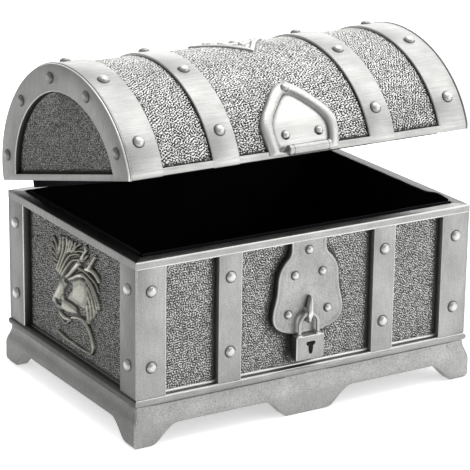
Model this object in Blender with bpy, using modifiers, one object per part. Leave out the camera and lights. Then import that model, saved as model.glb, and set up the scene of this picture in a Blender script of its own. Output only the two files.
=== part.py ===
"""Cast metal jewelry box shaped as a treasure chest, with a barrel lid, two hinges and a hanging padlock.

The frame has +Z up and the feet on z = 0. The front is at -Y and the hinges are at +Y. All sizes are in metres.
The lid is modelled closed and level, under an empty on the hinge axis that holds it partly open.
"""

import bisect
import math

import bmesh
import bpy
from mathutils import Matrix, Vector

# Base casting
BASE_LENGTH = 0.1200
BASE_DEPTH = 0.0843
PLINTH_HEIGHT = 0.0130
BEAD_HEIGHT = 0.0024
BEAD_PROUD = 0.0005
WALL_HEIGHT = 0.0429
WALL_THICKNESS = 0.0040
PANEL_RECESS = 0.0028
PANEL_DRAFT = 0.0003
POST_WIDTH = 0.0102
TOP_RAIL = 0.0027
STRAP_WIDTH = 0.0081
STRAP_OFFSET = 0.0278
RIM_CHAMFER = 0.0004

# Plinth and feet
PLINTH_FLARE = 0.0012
PLINTH_COVE = 0.0003
PLINTH_THICKNESS = 0.0030
PLINTH_EDGE = 0.0004
LEDGE_WIDTH = 0.0030
LEDGE_THICKNESS = 0.0015
FOOT_WIDTH = 0.0060
FOOT_SWEEP = 0.0090
FOOT_RISE = 0.0064
MIDDLE_FOOT_WIDTH = 0.0146

# Rivet heads
RIVET_RADIUS = 0.0020
RIVET_HEIGHT = 0.0010
RIVET_SINK = 0.0003
RIVET_INSET = 0.0096
SMALL_RIVET_RADIUS = 0.0016
SMALL_RIVET_HEIGHT = 0.0009

# Floor, felt and velvet
FLOOR_THICKNESS = 0.0012
FELT_THICKNESS = 0.0008
LINING_THICKNESS = 0.0012
LINING_RISE = 0.0005
LINING_ROUNDING = 0.0005
CUSHION_HEIGHT = 0.0055
CUSHION_CROWN = 0.0020
CUSHION_DRAW = 0.0012

# Lid casting
LID_SIDE_OVERHANG = 0.0008
LID_DEPTH_OVERHANG = 0.0021
ARCH_HEIGHT = 0.0358
LID_EDGE_TUCK = 0.0006
LID_EDGE_RISE = 0.0018
LID_WALL = 0.0024
LID_RECESS = 0.0010
LID_RAIL = 0.0025
END_BAND_WIDTH = 0.0116
LID_STRAP_WIDTH = 0.0092
LID_RIVET_LOW = 0.0112
LID_RIVET_MIDDLE = 0.0370
REST_OPEN_DEG = 14.25

# Lid ends
END_FLANGE = 0.0008
END_PLUG = 0.0030
END_FRAME_SIDE = 0.0099
END_FRAME_TOP = 0.0087
END_FRAME_BOTTOM = 0.0020
END_RECESS = 0.0022
END_RIVET_INSET = 0.0044

# Lid lining
FLANGE_THICKNESS = 0.0012
LIP_DROP = 0.0008
LIP_THICKNESS = 0.0015
LIP_CLEARANCE = 0.0005

# Hinges
LID_GAP = 0.0015
LID_BACK_OVERHANG = 0.0013
HINGE_OFFSET = 0.0067
HINGE_RISE = 0.0013
KNUCKLE_RADIUS = 0.0020
KNUCKLE_WIDTH = 0.0028
EAR_WIDTH = 0.0024
PIN_RADIUS = 0.00085
PIN_BORE = 0.00100
PIN_HEAD_RADIUS = 0.0013
PIN_HEAD = 0.0005
BRACKET_THICKNESS = 0.0012
BRACKET_DROP = 0.0070
BRACKET_LID_HEIGHT = 0.0058

# Lock plate, staple and padlock
LOCK_PLATE_WIDTH = 0.0254
LOCK_PLATE_HEIGHT = 0.0291
STAPLE_THICKNESS = 0.0013
STAPLE_REACH = 0.0030
STAPLE_HEIGHT = 0.0074
STAPLE_BOTTOM = 0.0155
STAPLE_EYE_RADIUS = 0.0009
SHACKLE_HEIGHT = 0.0174
SHACKLE_REACH = 0.0014
SHACKLE_RADIUS = 0.0006
SHACKLE_HALF_WIDTH = 0.0035
SHACKLE_LEG_DEPTH = 0.0012
SHACKLE_HOLE_RADIUS = 0.0009
LOCK_SHIFT = -0.0011
CASE_WIDTH = 0.0106
CASE_HEIGHT = 0.0077
CASE_THICKNESS = 0.0026
CASE_BEVEL = 0.0005
CASE_DROP = 0.0067
KEYHOLE_WIDTH = 0.0038
KEYHOLE_NECK = 0.0014
KEYHOLE_HEIGHT = 0.0040
KEYHOLE_DEPTH = 0.0007

# Hasp plate on the lid
HASP_WIDTH = 0.0268
HASP_HEIGHT = 0.0237
HASP_BOTTOM = 0.0009
HASP_FRAME = 0.0033
HASP_PROUD = 0.0012
HASP_SUNK = 0.0013
HASP_RIVET_LOW = 0.0067
HASP_RIVET_SIDE = 0.0059
HASP_RIVET_TOP = 0.0222
BARREL_LENGTH = 0.0138
BARREL_RADIUS = 0.0016
BARREL_RISE = 0.0026
BARREL_LIFT = 0.0017
BARREL_BORE = 0.0009
HASP_PIN_RADIUS = 0.0007

# Ornaments
ORNAMENT_WIDTH = 0.0300
ORNAMENT_LENGTH = 0.0390
ORNAMENT_PROUD = 0.0010
LION_WIDTH = 0.0330
LION_HEIGHT = 0.0345
LION_BOTTOM = 0.0035
LION_CENTRE = 0.0425
LION_RELIEF = 0.0016
LION_EDGE = 0.0004

# Clearances
SEAT_GAP = 0.0003
FINE_GAP = 0.00015
OVERRUN = 0.0020

# Shape of the arch and fineness of the round forms
ARCH_EXPONENT = 1.9
ARCH_STEPS = 36
ROUND_STEPS = 16
RIVET_STEPS = 12
RIVET_RINGS = 6
RIVET_TWIST = math.radians(11)
CURVE_STEPS = 6
CUSHION_CUTS = 5
BEND_STEP_SHARE = 0.09

# Half outline of the lock plate, from its neck down: share of the half width, share of the height
LOCK_PLATE_SHARES = (
    (0.50, 1.00), (0.50, 0.93), (0.55, 0.87), (0.68, 0.81), (0.79, 0.74), (0.85, 0.66), (0.87, 0.56),
    (0.89, 0.47), (0.94, 0.38), (0.99, 0.29), (1.00, 0.20), (0.93, 0.12), (0.76, 0.06), (0.50, 0.02),
    (0.25, 0.00),
)
# Places of the lock plate's rivets: share of the half width, share of the height
LOCK_RIVET_SHARES = ((0.00, 0.92), (-0.39, 0.66), (0.39, 0.66), (-0.56, 0.24), (0.56, 0.24))

# Half outline of the hasp plate, from its tip down: share of the half width, share of the height
HASP_SHARES = (
    (0.07, 1.00), (0.18, 0.96), (0.42, 0.84), (0.70, 0.66), (0.90, 0.52), (0.99, 0.40), (1.00, 0.30),
    (0.97, 0.15), (0.92, 0.00),
)
HASP_SUNK_SHARES = (
    (0.03, 0.81), (0.12, 0.79), (0.44, 0.60), (0.66, 0.44), (0.73, 0.34), (0.73, 0.22), (0.69, 0.12),
    (0.64, 0.05),
)

# One quarter of the knot's rim, from the side point to the tip: shares of the half width and the half length
KNOT_RIM_SHARES = ((1.00, 0.00), (0.74, 0.17), (0.52, 0.33), (0.34, 0.52), (0.17, 0.75), (0.00, 1.00))
KNOT_HOLE_SHARES = ((0.62, 0.00), (0.34, 0.24), (0.00, 0.56), (-0.34, 0.24), (-0.62, 0.00), (-0.34, -0.24),
                    (0.00, -0.56), (0.34, -0.24))

# Outline of the lion's head, which looks to the back: share of the width from the front, share of the height
LION_SHARES = (
    (0.96, 0.92), (0.76, 0.98), (0.69, 1.00), (0.61, 0.98), (0.39, 0.98), (0.29, 0.99), (0.24, 0.93),
    (0.11, 0.94), (0.07, 0.92), (0.02, 0.77), (0.01, 0.62), (0.00, 0.48), (0.06, 0.37), (0.14, 0.28),
    (0.11, 0.16), (0.10, 0.03), (0.19, 0.00), (0.84, 0.00), (0.87, 0.12), (0.89, 0.20), (1.00, 0.25),
    (1.00, 0.29), (0.95, 0.35), (0.78, 0.53), (0.86, 0.60), (1.00, 0.68), (0.86, 0.78),
)
# Outline of the raised brow, snout, jaw and cheek inside it, in the same shares
FACE_SHARES = (
    (0.76, 0.53), (0.93, 0.36), (0.98, 0.28), (0.82, 0.24), (0.83, 0.20), (0.73, 0.17), (0.60, 0.19),
    (0.51, 0.26), (0.35, 0.33), (0.26, 0.42), (0.21, 0.51), (0.22, 0.64), (0.28, 0.70), (0.39, 0.80),
    (0.47, 0.77), (0.60, 0.66), (0.67, 0.58),
)

# Places of the rivets on a lid end, as shares of the way round the arch
END_RIVET_SHARES = (0.089, 0.298, 0.500, 0.702, 0.911)

# Places worked out from the sizes above
BEAD_TOP = PLINTH_HEIGHT + BEAD_HEIGHT
RIM_Z = BEAD_TOP + WALL_HEIGHT
HINGE_REACH = HINGE_OFFSET + KNUCKLE_RADIUS
FRONT_Y = STAPLE_REACH - (BASE_DEPTH + STAPLE_REACH + HINGE_REACH) / 2
BACK_Y = FRONT_Y + BASE_DEPTH
MIDDLE_Y = (FRONT_Y + BACK_Y) / 2
HINGE_Y = BACK_Y + HINGE_OFFSET
HINGE_Z = RIM_Z + HINGE_RISE
FLOOR_TOP = PLINTH_HEIGHT + FLOOR_THICKNESS
INNER_LENGTH = BASE_LENGTH - 2 * WALL_THICKNESS - 2 * SEAT_GAP
INNER_DEPTH = BASE_DEPTH - 2 * WALL_THICKNESS - 2 * SEAT_GAP
LID_LENGTH = BASE_LENGTH + 2 * LID_SIDE_OVERHANG
ARCH_HALF_DEPTH = (BASE_DEPTH + LID_DEPTH_OVERHANG) / 2
LID_BARREL_LENGTH = LID_LENGTH - 2 * END_FLANGE - 2 * SEAT_GAP
LID_INNER_LENGTH = LID_LENGTH - 2 * END_FLANGE - 2 * END_PLUG - 2 * SEAT_GAP
LID_CENTRE_Y = BACK_Y + LID_BACK_OVERHANG + LID_EDGE_TUCK - ARCH_HALF_DEPTH

# Turns a shape drawn in X and Y so that its drawing stands in the YZ plane and its thickness lies along X
STAND_ACROSS = Matrix(((0, 0, 1), (1, 0, 0), (0, 1, 0))).to_4x4()
# Turns a shape drawn in X and Y so that it stands in the XZ plane and its thickness lies along Y
STAND_FACING = Matrix(((1, 0, 0), (0, 0, -1), (0, 1, 0))).to_4x4()


def clear_scene():
    for thing in list(bpy.data.objects):
        bpy.data.objects.remove(thing, do_unlink=True)


def make_collection(name):
    group = bpy.data.collections.new(name)
    bpy.context.scene.collection.children.link(group)
    return group


def make_material(name, colour, roughness, metallic):
    material = bpy.data.materials.new(name)
    material.use_nodes = True
    shader = material.node_tree.nodes["Principled BSDF"]
    shader.inputs["Base Color"].default_value = (*colour, 1)
    shader.inputs["Roughness"].default_value = roughness
    shader.inputs["Metallic"].default_value = metallic
    material.diffuse_color = (*colour, 1)
    return material


def add_empty(name, location, parent=None):
    empty = bpy.data.objects.new(name, None)
    PARTS.objects.link(empty)
    empty.parent = parent
    empty.location = location
    return empty


def add_object(name, mesh, group, parent=None):
    thing = bpy.data.objects.new(name, mesh)
    group.objects.link(thing)
    thing.parent = parent
    return thing


def mesh_from(bm, name):
    bmesh.ops.recalc_face_normals(bm, faces=bm.faces)
    mesh = bpy.data.meshes.new(name)
    bm.to_mesh(mesh)
    bm.free()
    return mesh


def box_mesh(name, low, high):
    """A box between two corners."""
    low, high = Vector(low), Vector(high)
    bm = bmesh.new()
    bmesh.ops.create_cube(bm, size=1)
    bmesh.ops.scale(bm, verts=bm.verts, vec=high - low)
    bmesh.ops.translate(bm, verts=bm.verts, vec=(low + high) / 2)
    return mesh_from(bm, name)


def cylinder_mesh(name, radius, length, steps=ROUND_STEPS):
    """A cylinder along X, centred on the origin."""
    bm = bmesh.new()
    bmesh.ops.create_cone(
        bm, cap_ends=True, segments=steps, radius1=radius, radius2=radius, depth=length,
        matrix=Matrix.Rotation(math.pi / 2, 4, "Y"),
    )
    return mesh_from(bm, name)


def outline_mesh(name, outlines, thickness):
    """A flat outline in X and Y, with its holes, as a 2D curve that is filled and given a thickness along Z."""
    curve = bpy.data.curves.new(name, "CURVE")
    curve.dimensions = "2D"
    curve.fill_mode = "BOTH"
    curve.extrude = thickness / 2
    for outline in outlines:
        spline = curve.splines.new("POLY")
        spline.points.add(len(outline) - 1)
        for point, (across, up) in zip(spline.points, outline):
            point.co = (across, up, 0, 1)
        spline.use_cyclic_u = True
    return welded_curve_mesh(curve, name)


def welded_curve_mesh(curve, name):
    """The mesh of a curve, with its loose caps welded on."""
    holder = add_object(name + "_guide", curve, CUTTERS)
    bpy.context.view_layer.update()
    graph = bpy.context.evaluated_depsgraph_get()
    mesh = bpy.data.meshes.new_from_object(holder.evaluated_get(graph))
    bpy.data.objects.remove(holder, do_unlink=True)
    bm = bmesh.new()
    bm.from_mesh(mesh)
    bmesh.ops.remove_doubles(bm, verts=bm.verts, dist=FINE_GAP / ROUND_STEPS)
    return mesh_from(bm, name)


def tube_mesh(name, points, radius):
    """A round wire along a list of points, with filled caps."""
    curve = bpy.data.curves.new(name, "CURVE")
    curve.dimensions = "3D"
    curve.bevel_depth = radius
    curve.bevel_resolution = 2
    curve.use_fill_caps = True
    spline = curve.splines.new("POLY")
    spline.points.add(len(points) - 1)
    for point, place in zip(spline.points, points):
        point.co = (*place, 1)
    return welded_curve_mesh(curve, name)


def turned_object(name, profile, group, parent=None):
    """A turned piece about X: (place along X, radius) from one end to the other, swept by a Screw modifier."""
    mesh = bpy.data.meshes.new(name)
    edges = [(index, index + 1) for index in range(len(profile) - 1)]
    mesh.from_pydata([(place, 0, radius) for place, radius in reversed(profile)], edges, [])
    thing = add_object(name, mesh, group, parent)
    screw = thing.modifiers.new("Turn", "SCREW")
    screw.axis = "X"
    screw.steps = ROUND_STEPS
    screw.render_steps = ROUND_STEPS
    screw.use_merge_vertices = True
    screw.merge_threshold = FINE_GAP / ROUND_STEPS
    return thing


def pin_profile(half_length, radius):
    """Profile of a pin with a flat head at each end."""
    neck = half_length - PIN_HEAD
    return [
        (-half_length, 0), (-half_length, PIN_HEAD_RADIUS), (-neck, PIN_HEAD_RADIUS), (-neck, radius),
        (neck, radius), (neck, PIN_HEAD_RADIUS), (half_length, PIN_HEAD_RADIUS), (half_length, 0),
    ]


def mitred_bar_mesh(name, profile, half_length):
    """A bar along X with a (depth, height) profile, its ends cut at 45 degrees so that four bars close a box."""
    bm = bmesh.new()
    corners = [bm.verts.new((-half_length, depth, height)) for depth, height in profile]
    grown = bmesh.ops.extrude_face_region(bm, geom=[bm.faces.new(corners)])
    far_end = [item for item in grown["geom"] if isinstance(item, bmesh.types.BMVert)]
    bmesh.ops.translate(bm, verts=far_end, vec=(2 * half_length, 0, 0))
    for corner in bm.verts:
        corner.co.x -= math.copysign(corner.co.y, corner.co.x)
    return mesh_from(bm, name)


def moulded_ring_mesh(name, profile, half_length, half_depth):
    """A closed rectangular moulding with mitred corners, from a closed (outward, height) profile."""
    bm = bmesh.new()
    rows = []
    for outward, height in profile:
        across, along = half_length + outward, half_depth + outward
        places = ((-across, -along), (across, -along), (across, along), (-across, along))
        rows.append([bm.verts.new((x, y, height)) for x, y in places])
    for row, next_row in zip(rows, rows[1:] + rows[:1]):
        for side in range(len(row)):
            following = (side + 1) % len(row)
            bm.faces.new((row[side], row[following], next_row[following], next_row[side]))
    return mesh_from(bm, name)


def cutter(name, mesh, matrix, parent=None):
    """A helper that cuts or joins: not part of the model."""
    tool = add_object(name, mesh, CUTTERS, parent)
    tool.matrix_local = matrix
    tool.hide_render = True
    tool.display_type = "WIRE"
    return tool


def combine(target, tool, operation):
    step = target.modifiers.new(operation.title() + " " + tool.name, "BOOLEAN")
    step.operation = operation
    step.object = tool
    step.solver = "EXACT"
    step.use_hole_tolerant = True


def cut(target, tool):
    combine(target, tool, "DIFFERENCE")


def join(target, tool):
    combine(target, tool, "UNION")


def freeze(thing):
    """Replaces a mesh by what its modifiers make of it."""
    bpy.context.view_layer.update()
    graph = bpy.context.evaluated_depsgraph_get()
    mesh = bpy.data.meshes.new_from_object(thing.evaluated_get(graph))
    thing.modifiers.clear()
    thing.data = mesh


def rivets_mesh(name, places, radius, height):
    """Domed rivet heads: (foot, outward direction) each, with their widest ring just under the surface."""
    bm = bmesh.new()
    for foot, outward in places:
        outward = Vector(outward)
        centre = Vector(foot) - outward * RIVET_SINK
        turn = outward.to_track_quat("Z", "Y").to_matrix() @ Matrix.Rotation(RIVET_TWIST, 3, "Z")
        ball = bmesh.ops.create_uvsphere(bm, u_segments=RIVET_STEPS, v_segments=RIVET_RINGS, radius=1)
        upper = [vert for vert in ball["verts"] if vert.co.z > -1 / RIVET_STEPS]
        lower = [vert for vert in ball["verts"] if vert.co.z <= -1 / RIVET_STEPS]
        bmesh.ops.delete(bm, geom=lower, context="VERTS")
        rim = [edge for edge in bm.edges if edge.is_boundary]
        bmesh.ops.edgeloop_fill(bm, edges=rim)
        for vert in upper:
            across, along, up = vert.co
            vert.co = centre + turn @ Vector((radius * across, radius * along, (height + RIVET_SINK) * up))
    return mesh_from(bm, name)


def finish(thing, material, sharp_deg=35):
    thing.data.materials.clear()
    thing.data.materials.append(material)
    thing.data.shade_smooth()
    thing.data.set_sharp_from_angle(angle=math.radians(sharp_deg))
    return thing


def quarter_turn(centre_across, centre_up, radius_across, radius_up, start, steps=CURVE_STEPS):
    """Points of a quarter ellipse that starts at an angle of this many right angles."""
    points = []
    for step in range(steps + 1):
        angle = (start + step / steps) * math.pi / 2
        points.append((centre_across + radius_across * math.cos(angle), centre_up + radius_up * math.sin(angle)))
    return points


def both_halves(half):
    """A whole outline from its right half, which runs from top to bottom."""
    return list(half) + [(-across, up) for across, up in reversed(half) if across]


def scaled_shares(shares, half_width, height, bottom=0):
    return [(across * half_width, bottom + up * height) for across, up in shares]


# The arch of the lid


def arch_point(turn_share, inset=0):
    """(y, z) on the arch, from its front foot at 0 to its back foot at 1, drawn in by inset."""
    angle = math.pi * turn_share
    power = 2 / ARCH_EXPONENT
    across = math.copysign(abs(math.cos(angle)) ** power, math.cos(angle))
    return -(ARCH_HALF_DEPTH - inset) * across, (ARCH_HEIGHT - inset) * abs(math.sin(angle)) ** power


def arch_line(inset, bottom):
    """Points of the arch above a height, front to back, with its feet exactly at that height."""
    half_depth = ARCH_HALF_DEPTH - inset
    level = bottom / (ARCH_HEIGHT - inset)
    foot = half_depth * (1 - level ** ARCH_EXPONENT) ** (1 / ARCH_EXPONENT)
    least = bottom + SEAT_GAP
    points = [arch_point(step / ARCH_STEPS, inset) for step in range(ARCH_STEPS + 1)]
    return [(-foot, bottom)] + [point for point in points if point[1] > least] + [(foot, bottom)]


def lid_outline(inset, drop=0):
    """The arch with its rounded lower corners."""
    tuck = ARCH_HALF_DEPTH - LID_EDGE_TUCK - inset
    return [(-tuck, drop)] + arch_line(inset, LID_EDGE_RISE) + [(tuck, drop)]


def arch_band(outer, inner):
    """A closed outline between two arches that run the same way."""
    return list(outer) + list(reversed(inner))


def arc_length_table():
    fine = ARCH_STEPS * ROUND_STEPS
    table = [(0, 0)]
    place = arch_point(0)
    for step in range(1, fine + 1):
        following = arch_point(step / fine)
        table.append((table[-1][0] + math.dist(place, following), step / fine))
        place = following
    return table


def on_arch(across, arc, outward, table):
    """The point and outward direction at this arc length from the lid's front foot."""
    lengths = [length for length, _ in table]
    at = min(max(bisect.bisect_right(lengths, arc), 1), len(table) - 1)
    (before, share), (after, next_share) = table[at - 1], table[at]
    turn_share = share + (next_share - share) * (arc - before) / (after - before)
    nudge = 1 / len(table)
    y0, z0 = arch_point(max(turn_share - nudge, 0))
    y1, z1 = arch_point(min(turn_share + nudge, 1))
    normal = Vector((0, z0 - z1, y1 - y0)).normalized()
    foot = Vector((across, *arch_point(turn_share)))
    return foot + normal * outward, normal


def bend_onto_arch(thing, table):
    """Bends a flat piece, drawn as (across, arc length, outward), onto the lid's arch."""
    freeze(thing)
    bm = bmesh.new()
    bm.from_mesh(thing.data)
    bmesh.ops.transform(bm, matrix=thing.matrix_local, verts=bm.verts)
    thing.matrix_local = Matrix()
    thing.parent = LID
    step = BEND_STEP_SHARE * ARCH_HALF_DEPTH
    low = min(vert.co.y for vert in bm.verts)
    high = max(vert.co.y for vert in bm.verts)
    for count in range(1, math.ceil((high - low) / step)):
        everything = bm.verts[:] + bm.edges[:] + bm.faces[:]
        bmesh.ops.bisect_plane(bm, geom=everything, plane_co=(0, low + count * step, 0), plane_no=(0, 1, 0))
    for vert in bm.verts:
        vert.co = on_arch(vert.co.x, vert.co.y, vert.co.z, table)[0]
    thing.data = mesh_from(bm, thing.name)


# The base


def wall_profile():
    """Section of a wall: (depth from its outer face, height), with the bead along its foot."""
    foot = PLINTH_HEIGHT + SEAT_GAP
    bead_middle = (BEAD_TOP + foot) / 2
    bead_radius = (BEAD_TOP - foot) / 2
    bead = []
    for step in range(CURVE_STEPS + 1):
        angle = math.pi * (step / CURVE_STEPS - 1 / 2)
        bead.append((-BEAD_PROUD * math.cos(angle), bead_middle + bead_radius * math.sin(angle)))
    return bead + [
        (0, RIM_Z - RIM_CHAMFER), (RIM_CHAMFER, RIM_Z),
        (WALL_THICKNESS - RIM_CHAMFER, RIM_Z), (WALL_THICKNESS, RIM_Z - RIM_CHAMFER),
        (WALL_THICKNESS, foot),
    ]


def panel_cutter(name, left, right, matrix):
    """Sinks a panel between two places along a wall. Its sides lean out by the draft of the casting."""
    top = RIM_Z - TOP_RAIL
    mesh = box_mesh(name, (left, -OVERRUN, BEAD_TOP), (right, PANEL_RECESS, top))
    middle = Vector(((left + right) / 2, 0, (BEAD_TOP + top) / 2))
    for vert in mesh.vertices:
        lean = PANEL_DRAFT * (PANEL_RECESS - vert.co.y) / PANEL_RECESS - PANEL_DRAFT
        vert.co.x += math.copysign(lean, vert.co.x - middle.x)
        vert.co.z += math.copysign(lean, vert.co.z - middle.z)
    return cutter(name, mesh, matrix)


def make_wall(name, length, matrix, straps):
    """A cast wall: posts, rails, straps, sunk panels and rivet heads. Its outer face is on y = 0 before placing."""
    half = length / 2
    wall = add_object(name, mitred_bar_mesh(name, wall_profile(), half - SEAT_GAP / 2), PARTS)
    wall.matrix_local = matrix
    edges = [-half + POST_WIDTH]
    for centre in straps:
        edges += [centre - STRAP_WIDTH / 2, centre + STRAP_WIDTH / 2]
    edges.append(half - POST_WIDTH)
    for number, (left, right) in enumerate(zip(edges[::2], edges[1::2])):
        cut(wall, panel_cutter(f"{name}_panel_{number}", left, right, matrix))
    heights = (BEAD_TOP + RIVET_INSET, RIM_Z - RIVET_INSET)
    columns = [POST_WIDTH / 2 - half, *straps, half - POST_WIDTH / 2]
    places = [((column, 0, height), (0, -1, 0)) for column in columns for height in heights]
    rivets = rivets_mesh(name + "_rivets", places, RIVET_RADIUS, RIVET_HEIGHT)
    join(wall, cutter(name + "_rivets", rivets, matrix))
    return finish(wall, PEWTER)


def make_walls():
    straps = (-STRAP_OFFSET, STRAP_OFFSET)
    half_turn = Matrix.Rotation(math.pi, 4, "Z")
    quarter = Matrix.Rotation(math.pi / 2, 4, "Z")
    to_front = Matrix.Translation((0, FRONT_Y, 0))
    to_back = Matrix.Translation((0, BACK_Y, 0)) @ half_turn
    to_right = Matrix.Translation((BASE_LENGTH / 2, MIDDLE_Y, 0)) @ quarter
    to_left = Matrix.Translation((-BASE_LENGTH / 2, MIDDLE_Y, 0)) @ quarter.inverted()
    make_wall("wall_front", BASE_LENGTH, to_front, straps)
    make_wall("wall_back", BASE_LENGTH, to_back, straps)
    make_wall("wall_left", BASE_DEPTH, to_left, ())
    make_wall("wall_right", BASE_DEPTH, to_right, ())


def plinth_profile():
    """Closed section of the plinth: (outward from the walls, height), a cove that flares to the feet."""
    inner = -PLINTH_THICKNESS
    ledge = inner - LEDGE_WIDTH
    top = PLINTH_HEIGHT
    flare_start = top - PLINTH_COVE - PLINTH_EDGE
    section = [(PLINTH_FLARE - PLINTH_EDGE, 0), (PLINTH_FLARE, PLINTH_EDGE)]
    rise = flare_start - FOOT_RISE
    reach = PLINTH_FLARE + PLINTH_COVE
    for step in range(CURVE_STEPS + 1):
        part = step / CURVE_STEPS
        section.append((PLINTH_FLARE - reach * (1 - math.cos(math.pi * part)) / 2, FOOT_RISE + rise * part))
    section += [(-PLINTH_COVE, top), (ledge, top), (ledge, top - LEDGE_THICKNESS)]
    return section + [(inner, top - LEDGE_THICKNESS), (inner, 0)]


def foot_arch(left, right):
    """Outline of the opening between two feet: upright at the floor, with a quarter ellipse up to the skirt."""
    sweep = min(FOOT_SWEEP, (right - left) / 2 - FINE_GAP)
    up_left = quarter_turn(left + sweep, 0, sweep, FOOT_RISE, 1)
    up_right = quarter_turn(right - sweep, 0, sweep, FOOT_RISE, 0)
    return [(right, -OVERRUN)] + up_right + up_left + [(left, -OVERRUN)]


def make_plinth():
    half_length, half_depth = BASE_LENGTH / 2, BASE_DEPTH / 2
    mesh = moulded_ring_mesh("plinth", plinth_profile(), half_length, half_depth)
    plinth = add_object("plinth", mesh, PARTS)
    plinth.location = (0, MIDDLE_Y, 0)
    reach = half_length + PLINTH_FLARE - FOOT_WIDTH
    through = BASE_DEPTH + 2 * PLINTH_FLARE + 2 * OVERRUN
    to_middle = Matrix.Translation((0, MIDDLE_Y, 0))
    for name, left, right in (
        ("left_arch", -reach, -MIDDLE_FOOT_WIDTH / 2), ("right_arch", MIDDLE_FOOT_WIDTH / 2, reach),
    ):
        shape = outline_mesh(name, [foot_arch(left, right)], through)
        cut(plinth, cutter(name, shape, to_middle @ STAND_FACING))
    reach = half_depth + PLINTH_FLARE - FOOT_WIDTH
    through = BASE_LENGTH + 2 * PLINTH_FLARE + 2 * OVERRUN
    shape = outline_mesh("side_arch", [foot_arch(-reach, reach)], through)
    cut(plinth, cutter("side_arch", shape, to_middle @ STAND_ACROSS))
    finish(plinth, PEWTER)


def make_floor():
    low = Vector((-INNER_LENGTH / 2, MIDDLE_Y - INNER_DEPTH / 2, PLINTH_HEIGHT + SEAT_GAP))
    high = Vector((INNER_LENGTH / 2, MIDDLE_Y + INNER_DEPTH / 2, FLOOR_TOP + SEAT_GAP))
    finish(add_object("floor_plate", box_mesh("floor_plate", low, high), PARTS), PEWTER)
    edge = PLINTH_THICKNESS + SEAT_GAP
    top = PLINTH_HEIGHT - LEDGE_THICKNESS - SEAT_GAP
    low = (edge - BASE_LENGTH / 2, FRONT_Y + edge, top - FELT_THICKNESS)
    high = (BASE_LENGTH / 2 - edge, BACK_Y - edge, top)
    finish(add_object("underside_felt", box_mesh("underside_felt", low, high), PARTS), FELT)


def rounded_box(name, low, high, rounding, material, parent=None):
    thing = add_object(name, box_mesh(name, low, high), PARTS, parent)
    bevel = thing.modifiers.new("Soft edges", "BEVEL")
    bevel.width = rounding
    bevel.segments = 2
    return finish(thing, material)


def make_linings():
    bottom = FLOOR_TOP + 2 * SEAT_GAP
    top = RIM_Z + LINING_RISE
    across = INNER_LENGTH / 2
    along = INNER_DEPTH / 2
    inside = along - LINING_THICKNESS - SEAT_GAP
    for name, side in (("lining_front", -1), ("lining_back", 1)):
        ends = sorted((MIDDLE_Y + side * along, MIDDLE_Y + side * (along - LINING_THICKNESS)))
        rounded_box(name, (-across, ends[0], bottom), (across, ends[1], top), LINING_ROUNDING, VELVET)
    for name, side in (("lining_left", -1), ("lining_right", 1)):
        ends = sorted((side * across, side * (across - LINING_THICKNESS)))
        low = (ends[0], MIDDLE_Y - inside, bottom)
        high = (ends[1], MIDDLE_Y + inside, top)
        rounded_box(name, low, high, LINING_ROUNDING, VELVET)


def make_cushion():
    """A velvet pad with a crowned top, and sides drawn in between its corners."""
    across = INNER_LENGTH / 2 - LINING_THICKNESS - SEAT_GAP
    along = INNER_DEPTH / 2 - LINING_THICKNESS - SEAT_GAP
    bottom = FLOOR_TOP + 2 * SEAT_GAP
    bm = bmesh.new()
    bmesh.ops.create_cube(bm, size=2)
    bmesh.ops.subdivide_edges(bm, edges=bm.edges, cuts=CUSHION_CUTS, use_grid_fill=True)
    for vert in bm.verts:
        u, v, w = vert.co
        crown = CUSHION_CROWN * (1 - u * u) * (1 - v * v) * (w + 1) / 2
        vert.co.x = u * (across - CUSHION_DRAW * (1 - v * v) * abs(u))
        vert.co.y = v * (along - CUSHION_DRAW * (1 - u * u) * abs(v))
        vert.co.z = bottom + CUSHION_HEIGHT * (w + 1) / 2 + crown
    cushion = add_object("floor_cushion", mesh_from(bm, "floor_cushion"), PARTS)
    cushion.location = (0, MIDDLE_Y, 0)
    soften = cushion.modifiers.new("Soften", "SUBSURF")
    soften.levels = 1
    soften.render_levels = 1
    finish(cushion, VELVET)


# Lock plate, staple and padlock


def make_lock_plate():
    """The vase-shaped plate fills the depth of the middle panel, so its face is level with the straps."""
    thickness = PANEL_RECESS - SEAT_GAP
    neck_top = RIM_Z - TOP_RAIL - PANEL_DRAFT - FINE_GAP
    bottom = neck_top - LOCK_PLATE_HEIGHT
    half = LOCK_PLATE_WIDTH / 2
    outline = both_halves(scaled_shares(LOCK_PLATE_SHARES, half, LOCK_PLATE_HEIGHT, bottom))
    plate = add_object("lock_plate", outline_mesh("lock_plate", [outline], thickness), PARTS)
    plate.matrix_local = Matrix.Translation((0, FRONT_Y + thickness / 2, 0)) @ STAND_FACING
    shares = scaled_shares(LOCK_RIVET_SHARES, half, LOCK_PLATE_HEIGHT, bottom)
    places = [((across, FRONT_Y, up), (0, -1, 0)) for across, up in shares]
    rivets = rivets_mesh("lock_plate_rivets", places, SMALL_RIVET_RADIUS, SMALL_RIVET_HEIGHT)
    join(plate, cutter("lock_plate_rivets", rivets, Matrix()))
    finish(plate, PEWTER)


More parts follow.
